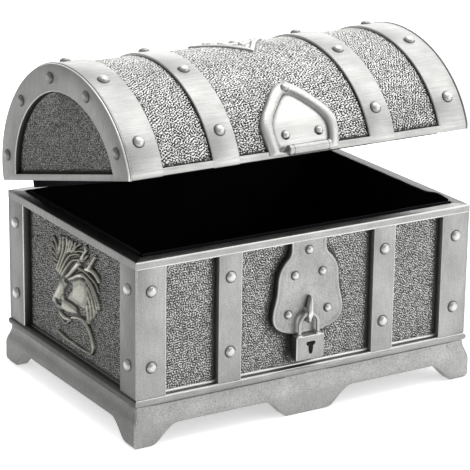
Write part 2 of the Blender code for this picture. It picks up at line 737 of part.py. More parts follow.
def make_staple():
    """A pointed lug across the lock plate, with an eye for the padlock's shackle."""
    reach = STAPLE_REACH
    eye = SHACKLE_REACH, SHACKLE_HEIGHT
    low = STAPLE_BOTTOM
    high = low + STAPLE_HEIGHT
    back = -SEAT_GAP
    foot = quarter_turn(back, eye[1], -(reach + back), eye[1] - low, 3)
    outline = foot + [(back - (reach + back) / 2, (eye[1] + high) / 2), (back, high)]
    staple = add_object("staple", outline_mesh("staple", [outline], STAPLE_THICKNESS), PARTS)
    place = Matrix.Translation((LOCK_SHIFT, FRONT_Y, BEAD_TOP))
    staple.matrix_local = place @ STAND_ACROSS
    hole = cylinder_mesh("staple_eye", STAPLE_EYE_RADIUS, STAPLE_THICKNESS + OVERRUN)
    cut(staple, cutter("staple_eye", hole, place @ Matrix.Translation((0, -eye[0], eye[1]))))
    finish(staple, PEWTER)


def shackle_points():
    """Centre line of the shackle under its pivot: one leg up, round the top and down the other leg."""
    half = SHACKLE_HALF_WIDTH
    leg_end = -CASE_DROP - SHACKLE_LEG_DEPTH
    points = [(-half, 0, leg_end), (-half, 0, -half)]
    steps = 2 * CURVE_STEPS
    for step in range(1, steps):
        angle = math.pi * (1 - step / steps)
        points.append((half * math.cos(angle), 0, half * math.sin(angle) - half))
    return points + [(half, 0, -half), (half, 0, leg_end)]


def make_padlock():
    place = (LOCK_SHIFT, FRONT_Y - SHACKLE_REACH, BEAD_TOP + SHACKLE_HEIGHT)
    pivot = add_empty("padlock_pivot", place)
    wire = tube_mesh("padlock_shackle", shackle_points(), SHACKLE_RADIUS)
    finish(add_object("padlock_shackle", wire, PARTS, pivot), PEWTER)
    half = Vector((CASE_WIDTH, CASE_THICKNESS, 0)) / 2
    low = -half - Vector((0, 0, CASE_DROP + CASE_HEIGHT))
    high = half - Vector((0, 0, CASE_DROP))
    case = rounded_box("padlock_case", low, high, CASE_BEVEL, PEWTER, pivot)
    for name, side in (("left_leg_hole", -1), ("right_leg_hole", 1)):
        depth = SHACKLE_LEG_DEPTH + SEAT_GAP
        hole = cylinder_mesh(name, SHACKLE_HOLE_RADIUS, 2 * depth, 2 * CURVE_STEPS)
        upright = Matrix.Rotation(math.pi / 2, 4, "Y")
        to_leg = Matrix.Translation((side * SHACKLE_HALF_WIDTH, 0, -CASE_DROP))
        cut(case, cutter(name, hole, to_leg @ upright, pivot))
    middle = -CASE_DROP - CASE_HEIGHT / 2
    top = middle + KEYHOLE_HEIGHT / 2
    shoulder = top - KEYHOLE_NECK / 2
    waist = KEYHOLE_NECK / 2
    half_outline = [(KEYHOLE_WIDTH / 2, top), (KEYHOLE_WIDTH / 2, shoulder), (waist, shoulder - waist)]
    half_outline.append((waist * 3 / 2, middle - KEYHOLE_HEIGHT / 2))
    shape = outline_mesh("keyhole", [both_halves(half_outline)], 2 * KEYHOLE_DEPTH)
    cut(case, cutter("keyhole", shape, Matrix.Translation((0, -CASE_THICKNESS / 2, 0)) @ STAND_FACING, pivot))


def make_lion(name, side):
    """A lion's head in profile on a side panel: its outline with mane and neck, and its raised face."""
    floor = side * (BASE_LENGTH / 2 - PANEL_RECESS + SEAT_GAP)
    low_y = FRONT_Y + LION_CENTRE - LION_WIDTH / 2
    bottom = BEAD_TOP + LION_BOTTOM
    outline = [(low_y + across * LION_WIDTH, bottom + up * LION_HEIGHT) for across, up in LION_SHARES]
    face = [(low_y + across * LION_WIDTH, bottom + up * LION_HEIGHT) for across, up in FACE_SHARES]
    ground = LION_RELIEF / 2
    lion = add_object(name, outline_mesh(name, [outline], ground), PARTS)
    lion.matrix_local = Matrix.Translation((floor + side * ground / 2, 0, 0)) @ STAND_ACROSS
    raised = outline_mesh(name + "_face", [face], LION_RELIEF - LION_EDGE)
    lift = floor + side * (LION_RELIEF + LION_EDGE) / 2
    join(lion, cutter(name + "_face", raised, Matrix.Translation((lift, 0, 0)) @ STAND_ACROSS))
    finish(lion, PEWTER)


# The lid, in its own frame: origin in the middle of its bottom edge plane


def recess_cutter(name, left, right, bottom):
    """Sinks the lid's skin between two places along X, above a rail."""
    outline = arch_band(arch_line(-OVERRUN, bottom), arch_line(LID_RECESS, bottom))
    shape = outline_mesh(name, [outline], right - left)
    return cutter(name, shape, Matrix.Translation(((left + right) / 2, 0, 0)) @ STAND_ACROSS, LID)


def make_lid_barrel(table):
    """The arched skin with its end bands, straps, rails, sunk panels and rivet heads."""
    inner = arch_line(LID_WALL, FINE_GAP)
    inner = [(inner[0][0], 0)] + inner[1:-1] + [(inner[-1][0], 0)]
    outline = arch_band(lid_outline(0), inner)
    barrel = add_object("lid_barrel", outline_mesh("lid_barrel", [outline], LID_BARREL_LENGTH), PARTS, LID)
    barrel.matrix_local = STAND_ACROSS
    whole = table[-1][0]
    arcs = (LID_RIVET_LOW, LID_RIVET_MIDDLE, whole / 2, whole - LID_RIVET_MIDDLE, whole - LID_RIVET_LOW)
    end_column = (LID_LENGTH - END_BAND_WIDTH) / 2
    columns = (-end_column, -STRAP_OFFSET, STRAP_OFFSET, end_column)
    places = [on_arch(column, arc, 0, table) for column in columns for arc in arcs]
    rivets = rivets_mesh("lid_rivets", places, RIVET_RADIUS, RIVET_HEIGHT)
    join(barrel, cutter("lid_rivets", rivets, Matrix(), LID))
    band = LID_LENGTH / 2 - END_BAND_WIDTH
    strap_in = STRAP_OFFSET - LID_STRAP_WIDTH / 2
    strap_out = STRAP_OFFSET + LID_STRAP_WIDTH / 2
    notch = HASP_WIDTH / 2 + SEAT_GAP
    for name, left, right, bottom in (
        ("lid_panel_left", -band, -strap_out, LID_RAIL),
        ("lid_panel_middle", -strap_in, strap_in, LID_RAIL),
        ("lid_panel_right", strap_out, band, LID_RAIL),
    ):
        cut(barrel, recess_cutter(name, left, right, bottom))
    seat = box_mesh("hasp_seat", (-notch, -ARCH_HALF_DEPTH - OVERRUN, HASP_BOTTOM - SEAT_GAP),
                    (notch, LID_RECESS - ARCH_HALF_DEPTH, LID_RAIL + SEAT_GAP))
    cut(barrel, cutter("hasp_seat", seat, Matrix(), LID))
    freeze(barrel)
    finish(barrel, PEWTER)


def make_lid_end(name, side):
    """A half-moon end: a thin flange over the barrel's edge, a plug inside it, a sunk panel and five rivets."""
    face = side * LID_LENGTH / 2
    flange = add_object(name, outline_mesh(name, [lid_outline(FINE_GAP)], END_FLANGE), PARTS, LID)
    flange.matrix_local = Matrix.Translation((face - side * END_FLANGE / 2, 0, 0)) @ STAND_ACROSS
    plug_line = arch_line(LID_WALL + SEAT_GAP, FINE_GAP)
    depth = END_PLUG + END_FLANGE / 2
    plug = outline_mesh(name + "_plug", [plug_line], depth)
    to_plug = Matrix.Translation((face - side * (END_FLANGE + depth) / 2, 0, 0))
    join(flange, cutter(name + "_plug", plug, to_plug @ STAND_ACROSS, LID))
    half_depth = ARCH_HALF_DEPTH - END_FRAME_SIDE
    height = ARCH_HEIGHT - END_FRAME_TOP
    moon = []
    for step in range(ARCH_STEPS + 1):
        y, z = arch_point(step / ARCH_STEPS)
        moon.append((y * half_depth / ARCH_HALF_DEPTH, z * height / ARCH_HEIGHT))
    moon = [point for point in moon if point[1] > END_FRAME_BOTTOM + SEAT_GAP]
    moon = [(moon[0][0], END_FRAME_BOTTOM)] + moon + [(moon[-1][0], END_FRAME_BOTTOM)]
    sunk = outline_mesh(name + "_panel", [moon], 2 * END_RECESS)
    cut(flange, cutter(name + "_panel", sunk, Matrix.Translation((face, 0, 0)) @ STAND_ACROSS, LID))
    spots = [arch_point(share, END_RIVET_INSET) for share in END_RIVET_SHARES]
    places = [((face, y, z), (side, 0, 0)) for y, z in spots]
    rivets = rivets_mesh(name + "_rivets", places, RIVET_RADIUS, RIVET_HEIGHT)
    join(flange, cutter(name + "_rivets", rivets, Matrix(), LID))
    freeze(flange)
    finish(flange, PEWTER)


def make_hasp(table):
    """A spade-shaped plate with a raised frame, three rivet heads and a barrel along its foot, bent to the lid."""
    bottom = SEAT_GAP - LID_RECESS
    thickness = HASP_PROUD - bottom
    half = HASP_WIDTH / 2
    outline = both_halves(scaled_shares(HASP_SHARES, half, HASP_HEIGHT, HASP_BOTTOM))
    plate = add_object("hasp_plate", outline_mesh("hasp_plate", [outline], thickness), PARTS)
    plate.matrix_local = Matrix.Translation((0, 0, bottom + thickness / 2))
    sunk = both_halves(scaled_shares(HASP_SUNK_SHARES, half, HASP_HEIGHT, HASP_BOTTOM))
    shape = outline_mesh("hasp_sunk", [sunk], 2 * HASP_SUNK)
    cut(plate, cutter("hasp_sunk", shape, Matrix.Translation((0, 0, HASP_PROUD))))
    low = HASP_PROUD - HASP_SUNK
    places = [((side * HASP_RIVET_SIDE, HASP_RIVET_LOW, low), (0, 0, 1)) for side in (-1, 1)]
    places.append(((0, HASP_RIVET_TOP, HASP_PROUD), (0, 0, 1)))
    rivets = rivets_mesh("hasp_rivets", places, SMALL_RIVET_RADIUS, SMALL_RIVET_HEIGHT)
    join(plate, cutter("hasp_rivets", rivets, Matrix()))
    axis = Matrix.Translation((0, BARREL_RISE, BARREL_LIFT))
    join(plate, cutter("hasp_barrel", cylinder_mesh("hasp_barrel", BARREL_RADIUS, BARREL_LENGTH), axis))
    bore = cylinder_mesh("hasp_bore", BARREL_BORE, BARREL_LENGTH + OVERRUN)
    cut(plate, cutter("hasp_bore", bore, axis))
    bend_onto_arch(plate, table)
    finish(plate, PEWTER)
    half_pin = BARREL_LENGTH / 2
    edge = HASP_PIN_RADIUS - FINE_GAP
    profile = [(-half_pin, 0), (-half_pin, edge), (FINE_GAP - half_pin, HASP_PIN_RADIUS)]
    profile += [(-along, radius) for along, radius in reversed(profile)]
    pin = turned_object("hasp_pin", profile, PARTS, LID)
    pin.location = on_arch(0, BARREL_RISE, BARREL_LIFT, table)[0]
    finish(pin, STEEL)


def make_ornament(table):
    """A pointed open knot on top of the lid."""
    half_width, half_length = ORNAMENT_WIDTH / 2, ORNAMENT_LENGTH / 2
    quarter = scaled_shares(KNOT_RIM_SHARES, half_width, half_length)
    upper = quarter + [(-across, up) for across, up in reversed(quarter[:-1])]
    rim = upper + [(across, -up) for across, up in reversed(upper[1:-1])]
    hole = scaled_shares(KNOT_HOLE_SHARES, half_width, half_length)
    middle = table[-1][0] / 2
    loops = [[(across, middle + up) for across, up in loop] for loop in (rim, hole)]
    bottom = SEAT_GAP - LID_RECESS
    top = ORNAMENT_PROUD - LID_RECESS + SEAT_GAP
    knot = add_object("lid_ornament", outline_mesh("lid_ornament", loops, top - bottom), PARTS)
    knot.matrix_local = Matrix.Translation((0, 0, (top + bottom) / 2))
    bend_onto_arch(knot, table)
    finish(knot, PEWTER)


def make_lid_lining():
    """Velvet sheets under the arch and at its ends, on a frame with a low lip."""
    flange_bottom = SEAT_GAP
    flange_top = flange_bottom + FLANGE_THICKNESS
    bottom = flange_top + SEAT_GAP
    skin = LID_WALL + SEAT_GAP
    sheet = arch_band(arch_line(skin, bottom), arch_line(skin + LINING_THICKNESS, bottom))
    vault = outline_mesh("lid_lining_vault", [sheet], LID_INNER_LENGTH)
    vault = add_object("lid_lining_vault", vault, PARTS, LID)
    vault.matrix_local = STAND_ACROSS
    finish(vault, VELVET)
    moon = arch_line(skin + LINING_THICKNESS + SEAT_GAP, bottom)
    for name, side in (("lid_lining_end_left", -1), ("lid_lining_end_right", 1)):
        card = add_object(name, outline_mesh(name, [moon], LINING_THICKNESS), PARTS, LID)
        place = side * (LID_INNER_LENGTH - LINING_THICKNESS) / 2
        card.matrix_local = Matrix.Translation((place, 0, 0)) @ STAND_ACROSS
        finish(card, VELVET)
    lip_depth = INNER_DEPTH / 2 - LINING_THICKNESS - LIP_CLEARANCE - abs(LID_CENTRE_Y - MIDDLE_Y)
    lip_length = INNER_LENGTH / 2 - LINING_THICKNESS - LIP_CLEARANCE
    wide = LID_INNER_LENGTH / 2
    deep = arch_line(skin, flange_top)[-1][0]
    inner = LIP_THICKNESS
    section = [
        (wide, deep, flange_bottom), (wide, deep, flange_top),
        (lip_length - inner, lip_depth - inner, flange_top), (lip_length - inner, lip_depth - inner, -LIP_DROP),
        (lip_length, lip_depth, -LIP_DROP), (lip_length, lip_depth, flange_bottom),
    ]
    bm = bmesh.new()
    rows = []
    for across, along, height in section:
        places = ((-across, -along), (across, -along), (across, along), (-across, along))
        rows.append([bm.verts.new((x, y, height)) for x, y in places])
    for row, next_row in zip(rows, rows[1:] + rows[:1]):
        for side in range(len(row)):
            following = (side + 1) % len(row)
            bm.faces.new((row[side], row[following], next_row[following], next_row[side]))
    frame = add_object("lid_lining_frame", mesh_from(bm, "lid_lining_frame"), PARTS, LID)
    finish(frame, VELVET)


# The hinges


def knuckle_outline(tail, steps=ROUND_STEPS):
    """Outline of a knuckle about the origin with a tail: the convex outline round both."""
    ring = [
        (KNUCKLE_RADIUS * math.cos(2 * math.pi * step / steps), KNUCKLE_RADIUS * math.sin(2 * math.pi * step / steps))
        for step in range(steps)
    ]
    bm = bmesh.new()
    for y, z in ring + list(tail):
        bm.verts.new((y, z, 0))
    bmesh.ops.convex_hull(bm, input=bm.verts)
    rim = [vert for vert in bm.verts if vert.link_faces or vert.link_edges]
    middle = sum((vert.co for vert in rim), Vector()) / len(rim)
    outline = sorted(
        ((vert.co.x, vert.co.y) for vert in rim), key=lambda at: math.atan2(at[1] - middle.y, at[0] - middle.x)
    )
    bm.free()
    return outline


def make_hinge(name, centre):
    """One hinge: a bracket with two ears on the base, a bracket with one knuckle on the lid, and a pin."""
    plate_width = 2 * EAR_WIDTH + KNUCKLE_WIDTH + 2 * SEAT_GAP
    back = BACK_Y + SEAT_GAP
    to_pin = Matrix.Translation((centre, HINGE_Y, HINGE_Z))
    plate_top = RIM_Z - SEAT_GAP
    low = (centre - plate_width / 2, back, plate_top - BRACKET_DROP)
    high = (centre + plate_width / 2, back + BRACKET_THICKNESS, plate_top)
    bracket = add_object("hinge_base_" + name, box_mesh("hinge_base_" + name, low, high), PARTS)
    near = back + BRACKET_THICKNESS / 2 - HINGE_Y
    tail = ((near, plate_top - HINGE_Z), (near, plate_top - BRACKET_DROP * 3 / 4 - HINGE_Z))
    ear_place = (KNUCKLE_WIDTH + EAR_WIDTH) / 2 + SEAT_GAP
    for tag, side in (("left", -1), ("right", 1)):
        tool = f"hinge_base_{name}_{tag}_ear"
        ear = outline_mesh(tool, [knuckle_outline(tail)], EAR_WIDTH)
        to_ear = to_pin @ Matrix.Translation((side * ear_place, 0, 0)) @ STAND_ACROSS
        join(bracket, cutter(tool, ear, to_ear))
    bore = cylinder_mesh(f"hinge_base_{name}_bore", PIN_BORE, plate_width + OVERRUN)
    cut(bracket, cutter(f"hinge_base_{name}_bore", bore, to_pin))
    finish(bracket, PEWTER)

    to_lid_pin = Matrix.Translation((centre, 0, 0))
    lid_back = LID_BACK_OVERHANG - HINGE_OFFSET + LID_EDGE_TUCK + SEAT_GAP
    lid_low = LID_GAP - HINGE_RISE + LID_EDGE_RISE / 2
    low = (centre - plate_width / 2, lid_back, lid_low)
    high = (centre + plate_width / 2, lid_back + BRACKET_THICKNESS, lid_low + BRACKET_LID_HEIGHT)
    leaf = add_object("hinge_lid_" + name, box_mesh("hinge_lid_" + name, low, high), PARTS, LID_PIVOT)
    near = lid_back + BRACKET_THICKNESS / 2
    tail = ((near, lid_low), (near, lid_low + BRACKET_LID_HEIGHT * 3 / 4))
    arm = outline_mesh(f"hinge_lid_{name}_arm", [knuckle_outline(tail)], KNUCKLE_WIDTH)
    join(leaf, cutter(f"hinge_lid_{name}_arm", arm, to_lid_pin @ STAND_ACROSS, LID_PIVOT))
    bore = cylinder_mesh(f"hinge_lid_{name}_bore", PIN_BORE, KNUCKLE_WIDTH + OVERRUN)
    cut(leaf, cutter(f"hinge_lid_{name}_bore", bore, to_lid_pin, LID_PIVOT))
    finish(leaf, PEWTER)

    half_pin = plate_width / 2 + FINE_GAP + PIN_HEAD
    pin = turned_object("hinge_pin_" + name, pin_profile(half_pin, PIN_RADIUS), PARTS)
    pin.location = (centre, HINGE_Y, HINGE_Z)
    finish(pin, STEEL)


clear_scene()
PARTS = make_collection("jewelry_box")
CUTTERS = make_collection("cutters")
PEWTER = make_material("pewter", (0.56, 0.56, 0.55), 0.34, 1)
STEEL = make_material("steel_pin", (0.62, 0.61, 0.58), 0.30, 1)
VELVET = make_material("black_velvet", (0.006, 0.006, 0.008), 0.95, 0)
FELT = make_material("black_felt", (0.012, 0.012, 0.014), 0.95, 0)
LID_PIVOT = add_empty("lid_pivot", (0, 0, 0))
LID = add_empty("lid_frame", (0, 0, 0), LID_PIVOT)

make_walls()
make_plinth()
make_floor()
make_linings()
make_cushion()
make_lock_plate()
make_staple()
make_padlock()
make_lion("lion_head_left", -1)
make_lion("lion_head_right", 1)
ARC_TABLE = arc_length_table()
make_lid_barrel(ARC_TABLE)
make_lid_end("lid_end_left", -1)
make_lid_end("lid_end_right", 1)
make_hasp(ARC_TABLE)
make_ornament(ARC_TABLE)
make_lid_lining()
make_hinge("left", -STRAP_OFFSET)
make_hinge("right", STRAP_OFFSET)

# The lid's pieces are whole, so the lid is set on its hinge and opened
LID.location = (0, LID_CENTRE_Y - HINGE_Y, LID_GAP - HINGE_RISE)
LID_PIVOT.location = (0, HINGE_Y, HINGE_Z)
LID_PIVOT.rotation_euler.x = -math.radians(REST_OPEN_DEG)
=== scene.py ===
"""Finished look of a cast pewter jewelry box shaped as a treasure chest.

Every piece is made in metres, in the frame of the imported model, which has +Z up and the front at -Y.
The lid's pieces are drawn closed and level, then set on their hinge and opened with LID_PLACE.
"""

import math

import bmesh
import bpy
import numpy as np
from bpy.props import FloatProperty, FloatVectorProperty, PointerProperty
from mathutils import Matrix, Vector


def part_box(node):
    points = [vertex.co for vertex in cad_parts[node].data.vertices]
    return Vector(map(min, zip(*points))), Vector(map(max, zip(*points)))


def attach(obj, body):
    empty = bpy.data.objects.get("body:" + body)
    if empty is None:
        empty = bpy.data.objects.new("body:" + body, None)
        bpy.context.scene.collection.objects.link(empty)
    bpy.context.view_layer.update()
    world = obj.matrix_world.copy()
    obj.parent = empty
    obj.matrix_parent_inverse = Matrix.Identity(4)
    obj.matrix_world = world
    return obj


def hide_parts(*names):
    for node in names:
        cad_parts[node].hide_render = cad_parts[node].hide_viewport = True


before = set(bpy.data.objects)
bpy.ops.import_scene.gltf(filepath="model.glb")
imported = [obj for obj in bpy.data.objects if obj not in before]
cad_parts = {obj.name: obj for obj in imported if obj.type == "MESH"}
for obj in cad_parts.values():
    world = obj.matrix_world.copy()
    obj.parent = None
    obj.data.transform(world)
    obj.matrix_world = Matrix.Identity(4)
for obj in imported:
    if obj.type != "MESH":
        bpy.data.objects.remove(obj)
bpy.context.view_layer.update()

bl_info = {
    "name": "Pewter Chest Dresser",
    "version": (1, 0, 0),
    "blender": (4, 5, 0),
    "location": "3D View > Sidebar > Chest",
    "description": "Builds the finished pieces of a cast pewter jewelry chest around its packed solids",
    "category": "Object",
}

# Base casting
BASE_LENGTH = 0.1200
BASE_DEPTH = 0.0843
FRONT_Y = -0.0450
BACK_Y = FRONT_Y + BASE_DEPTH
MIDDLE_Y = (FRONT_Y + BACK_Y) / 2
PLINTH_HEIGHT = 0.0130
BEAD_TOP = 0.0154
BEAD_PROUD = 0.0005
INNER_BEAD = 0.0009
RIM_Z = 0.0583
WALL_THICKNESS = 0.0040
PANEL_RECESS = 0.0028
POST_WIDTH = 0.0102
TOP_RAIL = 0.0027
STRAP_WIDTH = 0.0081
STRAP_OFFSET = 0.0278
RIVET_INSET = 0.0096
CORNER_SEAM = 0.0003

# Plinth and feet
PLINTH_FLARE = 0.0012
PLINTH_COVE = 0.0003
PLINTH_THICKNESS = 0.0030
LEDGE_WIDTH = 0.0030
LEDGE_THICKNESS = 0.0015
FOOT_WIDTH = 0.0060
FOOT_SWEEP = 0.0090
FOOT_RISE = 0.0064
MIDDLE_FOOT_WIDTH = 0.0146
FOOT_EDGE = 0.0004
TOE_TUCK = 0.0008
TOE_RISE = 0.0018
PLINTH_ROWS = 12

# Lid casting, about the middle of its bottom plane
LID_LENGTH = 0.1216
BARREL_LENGTH = 0.1194
ARCH_HALF_DEPTH = 0.0432
ARCH_HEIGHT = 0.0358
ARCH_EXPONENT = 1.9
ARCH_POWER = 2 / ARCH_EXPONENT
LID_EDGE_TUCK = 0.0006
LID_EDGE_RISE = 0.0018
LID_WALL = 0.0024
LID_RAIL = 0.0025
END_BAND_WIDTH = 0.0116
LID_STRAP_WIDTH = 0.0092
LID_RIVET_LOW = 0.0112
LID_RIVET_MIDDLE = 0.0370
LID_FLOOR = -0.0013
REST_OPEN_DEG = 14.25
HINGE_Y = 0.0460
HINGE_Z = 0.0596
LID_CENTRE_Y = -0.0020
LID_LIFT = 0.0002

# Lid ends
END_FACE = LID_LENGTH / 2
END_FLANGE = 0.0008
END_PLUG_INSET = 0.0027
END_FRAME_SIDE = 0.0099
END_FRAME_TOP = 0.0087
END_FRAME_BOTTOM = 0.0020
END_RECESS = 0.0022
END_RIVET_INSET = 0.0044
END_SEAM_RADIUS = 0.00024
END_RIVET_SHARES = (0.089, 0.298, 0.500, 0.702, 0.911)

# Lock plate, padlock and hasp
LOCK_PLATE_WIDTH = 0.0254
LOCK_PLATE_HEIGHT = 0.0291
LOCK_PLATE_TOP = 0.05515
LOCK_SHIFT = -0.0006
SHACKLE_REACH = 0.0014
SHACKLE_RADIUS = 0.00062
SHACKLE_HALF_WIDTH = 0.0033
SHACKLE_STEPS = 24
SHACKLE_COLLAR_RADIUS = 0.00105
EYE_Z = 0.0328
CASE_WIDTH = 0.0101
CASE_HEIGHT = 0.0077
CASE_THICKNESS = 0.0026
CASE_DROP = 0.0067
CASE_BACK = 0.0011
CASE_EDGE = 0.0005
HASP_WIDTH = 0.0268
HASP_SHIFT = -0.0007
HASP_HEIGHT = 0.0237
HASP_BOTTOM = 0.0009
HASP_BARREL_LENGTH = 0.0150
HASP_BARREL_RADIUS = 0.0016
HASP_BARREL_RISE = 0.0020
HASP_BARREL_LIFT = 0.0017

# Raised ornaments
LION_WIDTH = 0.0330
LION_HEIGHT = 0.0345
LION_LOW_Y = -0.0190
LION_LOW_Z = 0.0189
KNOT_HALF_WIDTH = 0.0136
KNOT_HALF_LENGTH = 0.0172
KNOT_SHIFT = 0.0014

# Painted reflection of the dark lid inside on the side rails' tops, and painted shade on the side beads
RAIL_TOP_PAINTED_REFLECTION = 0.6
SIDE_BEAD_PAINTED_SHADE = 0.75

# A rivet head from its foot up: rings as shares of its radius and height, the painted light of each ring (a
# dark foot ring of painted contact shade and patina, a painted highlight on the dome), and the side turned
# from the light, which gets painted shade
RIVET_SECTION = (
    (1.1, -0.35), (1.1, 0.02), (1.01, 0.04), (1.0, 0.12), (0.95, 0.34), (0.84, 0.58), (0.66, 0.8),
    (0.4, 0.94), (0.14, 1.0),
)
RIVET_SHADE_AND_HIGHLIGHT = (0.9, 0.55, 0.95, 0.45, 0.2, 0.1, -0.1, -0.25, -0.25)
RIVET_SHADED_SIDE = Vector((-0.6, 0.6, -0.5))

# Colour of metal that hands have polished, also given to painted highlights
WORN_AND_HIGHLIT_METAL = (0.86, 0.86, 0.84)

# Fineness
FINE_STEP = 0.00022
LION_STEP = 0.00020
KNOT_STEP = 0.00018
CLOTH_STEP = 0.0012
FELT_STEP = 0.0018
ROUND_STEPS = 20
END_STEPS = 48
ARCH_STATIONS = 96
TABLE_STEPS = 4000
WAVES = 56

# A hair's breadth, to tell faces apart and to sink one piece into the next
HAIR = 0.0001

# First number of each random draw
SEEDS = {"base": 12, "linings": 31, "lid": 41, "ends": 61, "felt": 71, "vault": 81}

# How far the cast grain reaches under what frames it
GRAIN_UNDER = 0.0003

LID_PLACE = (
    Matrix.Translation((0, HINGE_Y, HINGE_Z))
    @ Matrix.Rotation(-math.radians(REST_OPEN_DEG), 4, "X")
    @ Matrix.Translation((0, LID_CENTRE_Y - HINGE_Y, LID_LIFT))
)
LONG_SIDES = ("front", "back")
WALLS = {
    "front": Matrix.Translation((0, FRONT_Y, 0)),
    "back": Matrix.Translation((0, BACK_Y, 0)) @ Matrix.Rotation(math.pi, 4, "Z"),
    "right": Matrix.Translation((BASE_LENGTH / 2, MIDDLE_Y, 0)) @ Matrix.Rotation(math.pi / 2, 4, "Z"),
    "left": Matrix.Translation((-BASE_LENGTH / 2, MIDDLE_Y, 0)) @ Matrix.Rotation(-math.pi / 2, 4, "Z"),
}


# Meshes


def add_piece(name, mesh, finish, smooth_deg=60, body="base", slot="pewter", replaces=None):
    """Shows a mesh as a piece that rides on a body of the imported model, and may replace one of its nodes."""
    piece = bpy.data.objects.new(name, mesh)
    bpy.context.scene.collection.objects.link(piece)
    mesh.shade_smooth()
    mesh.set_sharp_from_angle(angle=math.radians(smooth_deg))
    mesh.materials.clear()
    mesh.materials.append(finish_named(finish))
    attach(piece, body)
    if replaces:
        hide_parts(replaces)
    return piece


def cast(bm, name, finish, smooth_deg=60, place=None, wear_and_painted_light=None, **more):
    """Makes a piece of a bmesh."""
    return add_piece(name, mesh_from(bm, name, place, wear_and_painted_light), finish, smooth_deg, **more)


def cast_lid(bm, name, finish, smooth_deg=60, wear_and_painted_light=None, **more):
    """Makes a piece of a bmesh that is drawn on the closed and level lid."""
    return cast(bm, name, finish, smooth_deg, LID_PLACE, wear_and_painted_light, body="lid", **more)


def patina_and_painted_light_layer(bm):
    """The layer that says how dark the patina and the painted shade are at a vertex, and where painted
    highlights brighten it. It is made before the vertices that use it.
    """
    return bm.verts.layers.float.get("patina") or bm.verts.layers.float.new("patina")


def mesh_from(bm, name, place=None, wear_and_painted_light=None):
    """Cleans a bmesh, sets it in place and makes a mesh of it.

    The function given for wear returns a place's patina and painted light, from -1 for polished metal and
    painted highlights to 1 for black patina and painted shade.
    """
    if wear_and_painted_light is not None:
        patina_and_painted_light = patina_and_painted_light_layer(bm)
        for vert in bm.verts:
            vert[patina_and_painted_light] = vert[patina_and_painted_light] or min(max(wear_and_painted_light(vert.co), -1.0), 1.0)
    bmesh.ops.remove_doubles(bm, verts=bm.verts, dist=1e-6)
    bmesh.ops.dissolve_degenerate(bm, edges=bm.edges, dist=1e-7)
    bmesh.ops.recalc_face_normals(bm, faces=bm.faces)
    mesh = bpy.data.meshes.new(name)
    bm.to_mesh(mesh)
    bm.free()
    if place is not None:
        mesh.transform(place)
    return mesh


def loft(bm, rings, cyclic=False, caps=True):
    """Skins a row of closed rings that have equal numbers of points."""
    rows = [[bm.verts.new(point) for point in ring] for ring in rings]
    pairs = list(zip(rows, rows[1:])) + ([(rows[-1], rows[0])] if cyclic else [])
    for row, after in pairs:
        for spot in range(len(row)):
            beside = (spot + 1) % len(row)
            bm.faces.new((row[spot], row[beside], after[beside], after[spot]))
    if caps and not cyclic:
        bm.faces.new(rows[0])
        bm.faces.new(rows[-1])
    return rows


def ladder_loft(bm, halves, place, ring_shading=()):
    """Skins rings drawn as right halves, each point (across, along, out), and closes both ends with rungs.

    The shading given for each ring is its patina with painted shade and painted highlights.
    """
    patina_and_painted_light = patina_and_painted_light_layer(bm)
    rings = []
    for half in halves:
        mirrored = [(-across, along, out) for across, along, out in reversed(half)]
        rings.append([place(*point) for point in list(half) + mirrored])
    rows = loft(bm, rings, caps=False)
    for row, dark in zip(rows, ring_shading):
        for vert in row:
            vert[patina_and_painted_light] = dark
    count = len(halves[0])
    for row in (rows[0], rows[-1]):
        for spot in range(count - 1):
            bm.faces.new((row[spot], row[spot + 1], row[-2 - spot], row[-1 - spot]))


def round_edges(bm, parts, edge, segments):
    """Rounds the edges of some vertices or faces, each once and always in the same order."""
    edges = list(dict.fromkeys(link for part in parts for link in part))
    bmesh.ops.bevel(bm, geom=edges, offset=edge, segments=segments, profile=0.5, affect="EDGES")


def soft_block(bm, low, high, edge, segments=2):
    """A block with rounded edges."""
    centre = [(a + b) / 2 for a, b in zip(low, high)]
    size = [b - a for a, b in zip(low, high)]
    made = bmesh.ops.create_cube(bm, size=1, matrix=Matrix.Translation(centre) @ Matrix.Diagonal((*size, 1)))
    round_edges(bm, [vert.link_edges for vert in made["verts"]], edge, segments)


def soft_prism(bm, outline, low, high, edge):
    """An upright prism on an outline in X and Y, with rounded edges."""
    bottom = [bm.verts.new((x, y, low)) for x, y in outline]
    top = [bm.verts.new((x, y, high)) for x, y in outline]
    faces = [bm.faces.new(bottom), bm.faces.new(top)]
    for spot in range(len(outline)):
        beside = (spot + 1) % len(outline)
        faces.append(bm.faces.new((bottom[spot], bottom[beside], top[beside], top[spot])))
    round_edges(bm, [face.edges for face in faces], edge, 2)


def round_angles(steps=ROUND_STEPS):
    """Angles of the points of a ring."""
    return [2 * math.pi * step / steps for step in range(steps)]


def rivet(bm, spot, outward, radius, height):
    """A domed rivet head on a thin ring darkened with painted contact shade and patina, with its foot sunk in
    the metal. The dome has a painted highlight on top and painted shade on the side turned from the light.
    """
    patina_and_painted_light = patina_and_painted_light_layer(bm)
    turn = Vector(outward).to_track_quat("Z", "Y").to_matrix().to_4x4()
    turn.translation = Vector(spot)
    rings = [[turn @ Vector((radius * wide * math.cos(angle), radius * wide * math.sin(angle), height * high))
              for angle in round_angles()] for wide, high in RIVET_SECTION]
    for row, dark in zip(loft(bm, rings), RIVET_SHADE_AND_HIGHLIGHT):
        for vert in row:
            # Painted shade on the side of the head turned from the light
            away = (vert.co - Vector(spot)).dot(RIVET_SHADED_SIDE) / radius
            vert[patina_and_painted_light] = min(dark + 0.5 * max(away, 0), 1)


